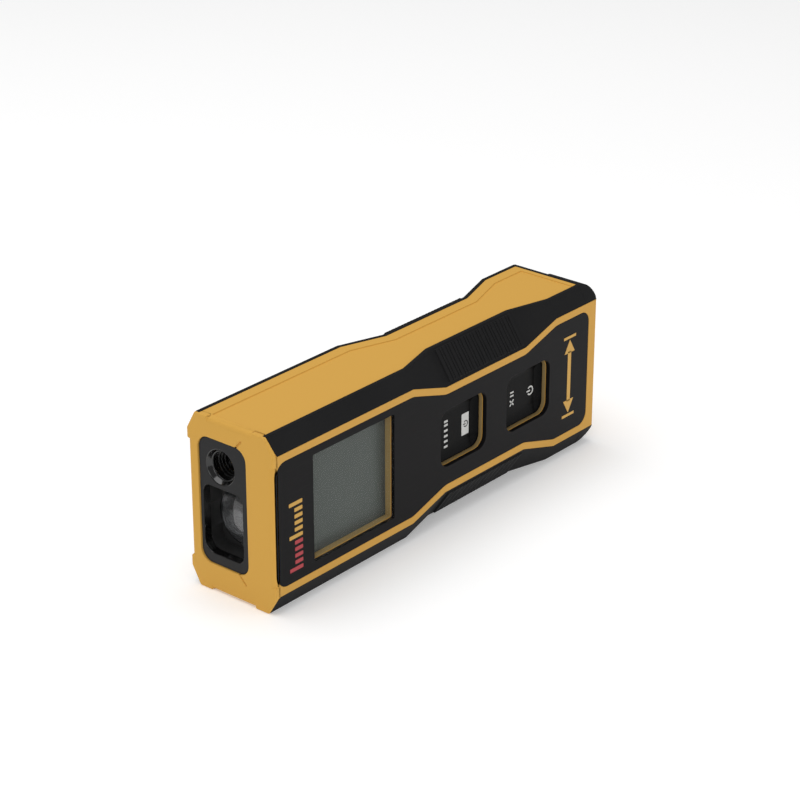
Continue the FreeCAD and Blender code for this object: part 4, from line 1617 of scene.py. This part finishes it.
@dataclass
class Optics:
    """Bezel, emitter mouth and lenses at the lens end."""

    emitter: Vector = Vector((0.0, 15.66, 9.7))
    receiver: Vector = Vector((0.0, 15.2, -4.3))
    bezel_u: Flat = (0.4, 2.6)
    bezel_d: Flat = (7.9, 21.9)
    bezel_h: Flat = (-14.3, 16.0)
    bezel_corner: float = 3.0
    aperture_d: Flat = (9.5, 21.0)
    aperture_h: Flat = (-11.8, 4.5)
    aperture_corners: tuple[float, ...] = (2.0, 2.8, 2.0, 2.0)
    flare: tuple[float, float, float] = (4.15, 3.5, 3.3)     # radii at the face, at its foot and behind
    flare_depth: float = 1.2
    steps: tuple[Flat, ...] = ((3.25, 3.25), (3.9, 3.0), (4.6, 2.75), (6.0, 2.5))   # end and radius
    lens_radius: float = 6.5
    barrel_radius: float = 3.95

    def bezel_outline(self, margin: float) -> list[Flat]:
        """Rounded outline of the bezel on the end face, grown by a margin."""
        d = (self.bezel_d[0] - margin, self.bezel_d[1] + margin)
        h = (self.bezel_h[0] - margin, self.bezel_h[1] + margin)
        return rounded(rectangle(d, h), self.bezel_corner + margin, 8)

    def bezel(self) -> None:
        """Dark end plate with the flared beam hole and the receiving aperture."""
        bezel = slab("optics_bezel", self.bezel_outline(0.0), Plane.END, *self.bezel_u)
        front, back = self.bezel_u
        mouth, foot, bore = self.flare
        end = front + self.flare_depth
        flare = [(front - 1, 0), (front - 1, mouth), (front, mouth), (end, foot), (end, bore),
                 (back + 1, bore), (back + 1, 0)]
        combine(bezel, turned("flare", flare, self.emitter, Plane.END), Join.CARVE)
        hole = rounded(rectangle(self.aperture_d, self.aperture_h), list(self.aperture_corners))
        cut(bezel, hole, Plane.END, -1, 4)
        soften(merged(bezel), 0.2, segments=3)
        dress(bezel, BEZEL)
        dress_where(bezel, RING_GLOSS, self.is_inside)
        settle(bezel, Body.HOUSING, "bezel_black", "lens_bezel")

    def is_inside(self, place: Vector, way: Vector) -> bool:
        """Whether a face of the bezel lines the beam hole or the aperture."""
        beam = (place.yz - self.emitter.yz).length < self.flare[0] + 0.15
        (d0, d1), (h0, h1) = self.aperture_d, self.aperture_h
        lines = way.x > -FACING
        return lines and (beam or d0 - NEAR < place.y < d1 + NEAR and h0 - NEAR < place.z < h1 + NEAR)

    def mouth(self) -> None:
        """Stepped glossy sleeve inside the beam hole."""
        start = along = self.bezel_u[1]
        bore: list[Flat] = []
        for reach, radius in self.steps:
            bore += [(along, radius), (reach, radius)]
            along = reach
        profile = [(start, self.barrel_radius), (along, self.barrel_radius), *reversed(bore)]
        sleeve = turned("emitter_mouth", profile, self.emitter, Plane.END, 96)
        soften(sleeve, 0.06)
        settle(sleeve, Body.HOUSING, "bezel_black", "emitter_ring", finish=RING_GLOSS)

    def lens(self, name: str, node: str, middle: Vector, radius: float, rim: float, back: float,
             sag: float) -> None:
        """Flat-backed lens with a domed front and a ground edge.

        Args:
            name: the piece's name.
            node: the CAD node that it replaces.
            middle: a point on its axis.
            radius: its radius.
            rim: u of the dome's rim.
            back: u of the flat back.
            sag: the dome's height.
        """
        ball = (radius ** 2 + sag ** 2) / (2 * sag)
        reach = math.asin(radius / ball)
        arc = [reach * step / 14 for step in range(15)]
        dome = [(rim - sag + ball * (1 - math.cos(angle)), ball * math.sin(angle)) for angle in arc]
        profile = dome + [(back - 0.2, radius), (back, radius - 0.2), (back, 0.0)]
        piece = smooth(turned(name, profile, middle, Plane.END, 96), 30)
        settle(piece, Body.HOUSING, "lens_glass", node, finish=LENS_CLEAR)

    def build(self) -> None:
        """Build the optics and dress the parts behind them."""
        self.bezel()
        self.mouth()
        self.lens("receiver_lens", "receiving_lens", self.receiver, self.lens_radius, 6.0, 7.8, 1.6)
        self.lens("beam_lens", "collimating_lens", self.emitter, 2.75, 7.2, 8.6, 0.6)
        keep(optics_bracket=OPTICAL_BLACK, laser_barrel=BRASS, laser_diode=GOLD_CAN, receiver_board=BOARD,
             photodiode=RESIN)


@dataclass
class Electronics:
    """Main board and what is soldered to it."""

    def build(self) -> None:
        """Dress the boards and their parts."""
        keep(main_board=BOARD, board_chips=RESIN, buzzer=MOULDED_BLACK)


@dataclass
class Power:
    """Battery tray with two cells, their springs and plates."""

    inside: Flat = (62.2, 110.2)
    plate_thick: float = 0.4
    cell_radius: float = 5.25
    cell_length: float = 44.5
    middle_d: float = 17.8
    middle_h: float = 5.5
    nub: Flat = (0.8, 1.9)             # length and radius of the positive nub
    band: float = 0.25                 # share of the cell's length that is coppery
    coil_radius: float = 2.7
    wire: float = 0.38
    turns: int = 5

    def cell(self) -> Piece:
        """Cell with its nub at the low end of u, around u = 0."""
        length, radius = self.cell_length, self.cell_radius
        height, nub = self.nub
        profile = [(0, 0), (0, nub - 0.3), (0.25, nub), (height, nub), (height, radius - 1.1),
                   (height + 0.1, radius - 0.9), (height + 0.1, radius - 0.5), (height + 0.5, radius),
                   (length - 0.6, radius), (length - 0.1, radius - 0.45), (length - 0.1, radius - 1.2),
                   (length, radius - 1.4), (length, 0)]
        piece = smooth(turned("cell", profile, Vector((0, 0, 0)), Plane.END), 35)
        dress(piece, NICKEL)
        dress_where(piece, SLEEVE, lambda p, n: math.hypot(p.y, p.z) > radius - 0.7)
        return piece

    def cells(self) -> None:
        """Place the two cells head to tail."""
        limit = self.cell_length * self.band
        for name, side, to_tail in (("upper", 1, True), ("lower", -1, False)):
            cell = self.cell()
            bisect(cell, ALONG_U * limit, ALONG_U)
            dress_where(cell, SLEEVE_BAND, lambda p, n: 1.5 < p.x < limit and n.yz.length > FACING)
            nub_end = self.inside[1] - self.plate_thick if to_tail else self.inside[0] + self.plate_thick
            turn = Matrix.Rotation(math.pi if to_tail else 0.0, 4, "Z")
            move = Matrix.Translation((nub_end, self.middle_d, side * self.middle_h)) @ turn
            placed = copied(cell, f"{name}_cell", move)
            bpy.data.objects.remove(cell)
            settle(placed, Body.HOUSING, "cell_sleeve", f"battery_cell_{name}")

    def spring(self, start: float, end: float, side: int) -> Piece:
        """Coil wound with the Screw modifier and closed at its ends.

        Args:
            start: u where the coil starts, in mm.
            end: u where it ends.
            side: 1 behind the upper cell, -1 behind the lower one.

        Returns:
            The coil.
        """
        bpy.ops.object.select_all(action="DESELECT")
        bpy.ops.mesh.primitive_circle_add(vertices=10, radius=self.wire / 2, fill_type="NOTHING",
                                          rotation=(math.pi / 2, 0, 0),
                                          location=(self.coil_radius, 0, 0))
        coil = adopt("coil")
        steps = 24 * self.turns
        modified(coil, "SCREW", axis="Z", angle=math.tau * self.turns,
                 screw_offset=end - start - self.wire, steps=steps, render_steps=steps)
        with editing(coil):
            everywhere(bpy.ops.mesh.fill_holes, sides=12)
            everywhere(bpy.ops.mesh.normals_make_consistent, inside=False)
        smooth(coil, 40)
        move = Matrix.Translation((start + self.wire / 2, self.middle_d, side * self.middle_h))
        coil.data.transform(move @ Matrix.Rotation(math.pi / 2, 4, "Y"))
        return coil

    def springs(self) -> None:
        """Wind the two contact springs."""
        gap = self.inside[1] - self.inside[0] - 2 * self.plate_thick - self.cell_length
        low, high = self.inside[0] + self.plate_thick, self.inside[1] - self.plate_thick
        coils = [self.spring(low, low + gap, 1), self.spring(high - gap, high, -1)]
        settle(joined(coils, "contact_coils"), Body.HOUSING, "nickel", "contact_springs", finish=NICKEL)

    def build(self) -> None:
        """Build the cells and the springs, and dress the tray."""
        self.cells()
        self.springs()
        keep(contact_plates=NICKEL, battery_tray=MOULDED_BLACK)


@dataclass(frozen=True)
class Grooves:
    """Row of equal grooves along u, in mm."""

    count: int
    start: float
    pitch: float
    width: float
    half: float
    corner: float
    facets: int


@dataclass
class RearCover:
    """Battery cover with its hinge arms, its latch and the label beside it."""

    u: Flat = (60.25, 108.65)
    half: float = 11.9
    thick: float = 1.8
    arm_h: Flat = (9.3, 11.9)
    arm_radius: float = 1.0
    hinge: Flat = (110.2, 23.9)
    pin: Flat = (0.6, 13.0)
    latch_u: Flat = (60.4, 66.2)
    latch_half: float = 3.9
    latch_gap: float = 0.3
    latch_thick: float = 1.2
    lip: Flat = (0.5, 3.0)             # its thickness along u, and how deep it reaches
    groove: float = 0.35
    thumb_grooves: Grooves = Grooves(5, 70.0, 1.9, 0.9, 5.5, 0.44, 5)
    finger_depth: float = 0.25
    finger_grooves: Grooves = Grooves(3, 61.5, 1.1, 0.5, 2.8, 0.24, 4)
    label_u: Flat = (9.0, 39.5)
    label_half: float = 12.0
    label_thick: float = 0.14
    label_sink: float = 0.01
    border_in: float = 1.0             # from the label's edge to its printed border
    border_width: float = 0.3

    def arm(self, flip: int) -> Piece:
        """Hinge arm with its pin.

        Args:
            flip: 1 for the upper arm, -1 for the lower one.

        Returns:
            The arm.
        """
        u, d = self.hinge
        h = sorted((flip * self.arm_h[0], flip * self.arm_h[1]))
        arm = block("arm", (self.u[1] - 2, u), (d - self.arm_radius, d + self.arm_radius), h)
        eye = arc((u, d), self.arm_radius, (-90, 90))
        combine(arm, slab("eye", eye, Plane.SIDE, *h), Join.WELD)
        radius, end = self.pin
        ring = rounded(rectangle((u - radius, u + radius), (d - radius, d + radius)), radius * 0.98, 5)
        low, high = sorted((flip * (self.arm_h[0] + 0.5), flip * end))
        return combine(arm, slab("pin", ring, Plane.SIDE, low, high), Join.WELD)

    def cover(self) -> None:
        """Cover with thumb grooves beside the latch."""
        inside = THICKNESS - self.thick
        outline = rounded(rectangle(self.u, (-self.half, self.half)), [2.0, 0.3, 0.3, 2.0], 8)
        cover = slab("battery_door", outline, Plane.FACE, inside, THICKNESS)
        reach = self.latch_half + self.latch_gap
        notch = rounded(rectangle((self.u[0] - 2, self.latch_u[1] + self.latch_gap), (-reach, reach)),
                        [0.0, 0.6, 0.6, 0.0], 4)
        cut(cover, notch, Plane.FACE, inside - 1, THICKNESS + 1)
        self.score(cover, self.thumb_grooves, THICKNESS - self.groove)
        for flip in (1, -1):
            combine(cover, self.arm(flip), Join.WELD)
        soften(merged(cover), 0.12)
        settle(cover, Body.COVER, "yellow_shell", "battery_cover", finish=YELLOW_SHELL)

    def latch(self) -> None:
        """Springy tongue with a grooved finger pad and a lip."""
        start, end = self.latch_u
        top = THICKNESS - 0.1
        h = (-self.latch_half, self.latch_half)
        tongue = block("latch_tongue", (start, end), (THICKNESS - self.latch_thick, top), h)
        lip_u, lip_d = (start, start + self.lip[0]), (THICKNESS - self.lip[1], top)
        combine(tongue, block("lip", lip_u, lip_d, h), Join.WELD)
        self.score(tongue, self.finger_grooves, top - self.finger_depth)
        soften(merged(tongue), 0.1)
        settle(tongue, Body.LATCH, "yellow_shell", "cover_latch", finish=YELLOW_SHELL)

    def score(self, piece: Piece, grooves: Grooves, floor: float) -> None:
        """Cut a row of grooves across a piece.

        Args:
            piece: the piece to change.
            grooves: their number and sizes.
            floor: d of their floor, in mm.
        """
        for index in range(grooves.count):
            u = grooves.start + index * grooves.pitch
            line = rectangle((u, u + grooves.width), (-grooves.half, grooves.half))
            cut(piece, rounded(line, grooves.corner, grooves.facets), Plane.FACE, floor, THICKNESS + 1)

    def label(self) -> None:
        """Blank label with a thin printed border."""
        outline = rounded(rectangle(self.label_u, (-self.label_half, self.label_half)), 1.5)
        top = THICKNESS - self.label_sink
        label = slab("blank_label", outline, Plane.FACE, THICKNESS - self.label_thick - self.label_sink, top)
        with editing(label):
            pick(label, Kind.FACE, lambda p, n: n.y > FACING)
            bpy.ops.mesh.inset(thickness=self.border_in)
            bpy.ops.mesh.inset(thickness=self.border_width)
        dress(label, PAPER)
        inner = self.border_in + self.border_width + 1

        def on_border(place: Vector, way: Vector) -> bool:
            """Whether a face is part of the printed border."""
            edge = min(self.label_half - abs(place.z), place.x - self.label_u[0], self.label_u[1] - place.x)
            return way.y > FACING and self.border_in - 0.1 < edge <= inner
        dress_where(label, INK_BLACK, on_border)
        settle(label, Body.HOUSING, "label", "rear_label")

    def build(self) -> None:
        """Build the cover, its latch and the label."""
        self.cover()
        self.latch()
        self.label()


@dataclass
class Fasteners:
    """Pan head screws with cross recesses."""

    housing: tuple[Flat, ...] = ((43.5, 13.8), (43.5, -13.8), (103.0, 14.6), (103.0, -14.6))
    board: tuple[Flat, ...] = ((53.0, 13.0), (53.0, -13.0))
    point: float = 0.8                 # length of the shank's pointed end
    cross: Flat = (0.62, 0.15)         # half the recess's length and width, as shares of the radius
    turn: Flat = (0.4, 1.1)            # the first screw's angle and the step to the next, in radians

    def screw(self, seat: float, head: Flat, shank: float, tip: float) -> Piece:
        """One screw on the axis through u = 0 and h = 0.

        Args:
            seat: d of the head's underside.
            head: the head's radius and height.
            shank: the shank's radius.
            tip: d of the shank's end.

        Returns:
            The screw.
        """
        radius, height = head
        top = seat + height
        profile = [(tip, 0), (tip, shank * 0.4), (tip + self.point, shank), (seat, shank), (seat, radius),
                   (top - height * 0.4, radius), (top - height * 0.1, radius * 0.75),
                   (top, radius * 0.4), (top, 0)]
        screw = turned("screw", profile, Vector((0, 0, 0)), Plane.FACE, 32)
        reach, slot = (radius * share for share in self.cross)
        for half_u, half_h in ((reach, slot), (slot, reach)):
            cross = block("cross", (-half_u, half_u), (top - height * 0.6, top + 1), (-half_h, half_h))
            combine(screw, cross, Join.CARVE)
        return smooth(screw, 35)

    def place(self, screw: Piece, spots: tuple[Flat, ...], name: str, node: str) -> None:
        """Copy a screw to its spots, each turned by its own angle, and join them.

        Args:
            screw: the screw, which is used up.
            spots: u and h of each axis.
            name: the joined piece's name.
            node: the CAD node that it replaces.
        """
        copies = []
        for index, (u, h) in enumerate(spots):
            angle = self.turn[0] + self.turn[1] * index
            move = Matrix.Translation((u, 0, h)) @ Matrix.Rotation(angle, 4, "Y")
            copies.append(copied(screw, f"{name}_{index}", move))
        bpy.data.objects.remove(screw)
        settle(joined(copies, name), Body.HOUSING, "screw_steel", node, finish=BLACK_STEEL)

    def build(self) -> None:
        """Build the housing's and the board's screws."""
        seat = THICKNESS - 2.8
        self.place(self.screw(seat, (1.8, 1.2), 0.9, 8.6), self.housing, "casing_screws", "housing_screws")
        self.place(self.screw(8.2, (1.6, 1.1), 0.7, 4.0), self.board, "circuit_screws", "board_screws")


# ---- studio ----------------------------------------------------------------------------------
@dataclass
class Studio:
    """Pale floor, soft lights and camera, in metres."""

    eye: Vector = Vector((-0.388, -0.3253, 0.2604))
    aim: Vector = Vector((-0.016, -0.0123, 0.0367))
    lens: float = 109.5
    daylight: float = 0.3
    lamps: tuple[tuple[str, Vector, float, float], ...] = (
        ("overhead", Vector((-0.1, 0.15, 0.9)), 0.9, 6.0),
        ("front_left", Vector((-0.9, -0.5, 0.45)), 0.6, 2.2),
        ("front_right", Vector((0.5, -0.9, 0.35)), 0.6, 2.2))

    def point_at(self, piece: Piece, target: Vector) -> None:
        """Turn a lamp or camera towards a point."""
        piece.rotation_euler = (target - piece.location).to_track_quat("-Z", "Y").to_euler()

    def camera(self) -> None:
        """Place the camera."""
        bpy.ops.object.camera_add(location=self.eye)
        camera = bpy.context.object
        self.point_at(camera, self.aim)
        camera.data.lens = self.lens
        camera.data.sensor_width = 36
        camera.data.clip_start = 0.01
        bpy.context.scene.camera = camera

    def lamp(self, name: str, place: Vector, size: float, power: float) -> None:
        """Add a soft square lamp that faces the meter.

        Args:
            name: the lamp's name.
            place: where it hangs, in metres.
            size: its side.
            power: its power, in watts.
        """
        bpy.ops.object.light_add(type="AREA", location=place)
        lamp = bpy.context.object
        lamp.name = name
        lamp.data.size = size
        lamp.data.energy = power
        self.point_at(lamp, Vector((0, 0, 0.02)))

    def floor(self) -> None:
        """Lay the pale floor."""
        bpy.ops.object.select_all(action="DESELECT")
        bpy.ops.mesh.primitive_plane_add(size=8)
        floor = adopt("studio_floor")
        floor.data.transform(Matrix.Translation((0, 0, -NEAR * MM)))
        dress(floor, FLOOR)

    def build(self) -> None:
        """Set the world, the floor, the lamps and the camera."""
        scene = bpy.context.scene
        scene.view_settings.view_transform = "Standard"
        world = scene.world or bpy.data.worlds.new("studio")
        scene.world = world
        world.use_nodes = True
        backdrop = world.node_tree.nodes["Background"]
        feed(world.node_tree, backdrop, {"Color": (1.0, 1.0, 1.0, 1.0), "Strength": self.daylight})
        self.floor()
        for lamp in self.lamps:
            self.lamp(*lamp)
        self.camera()


def main() -> None:
    """Build every sub-assembly in order."""
    logging.basicConfig(level=logging.INFO, format="%(message)s")
    keys = Keys()
    grips = Grips()
    optics = Optics()
    Casing().build()
    Jacket().build(grips, optics.bezel_outline(SEAT_GAP))
    grips.build()
    FacePlate().build(keys)
    keys.build()
    Display().build()
    optics.build()
    Electronics().build()
    Power().build()
    RearCover().build()
    Fasteners().build()
    Studio().build()


if __name__ == "__main__":
    main()
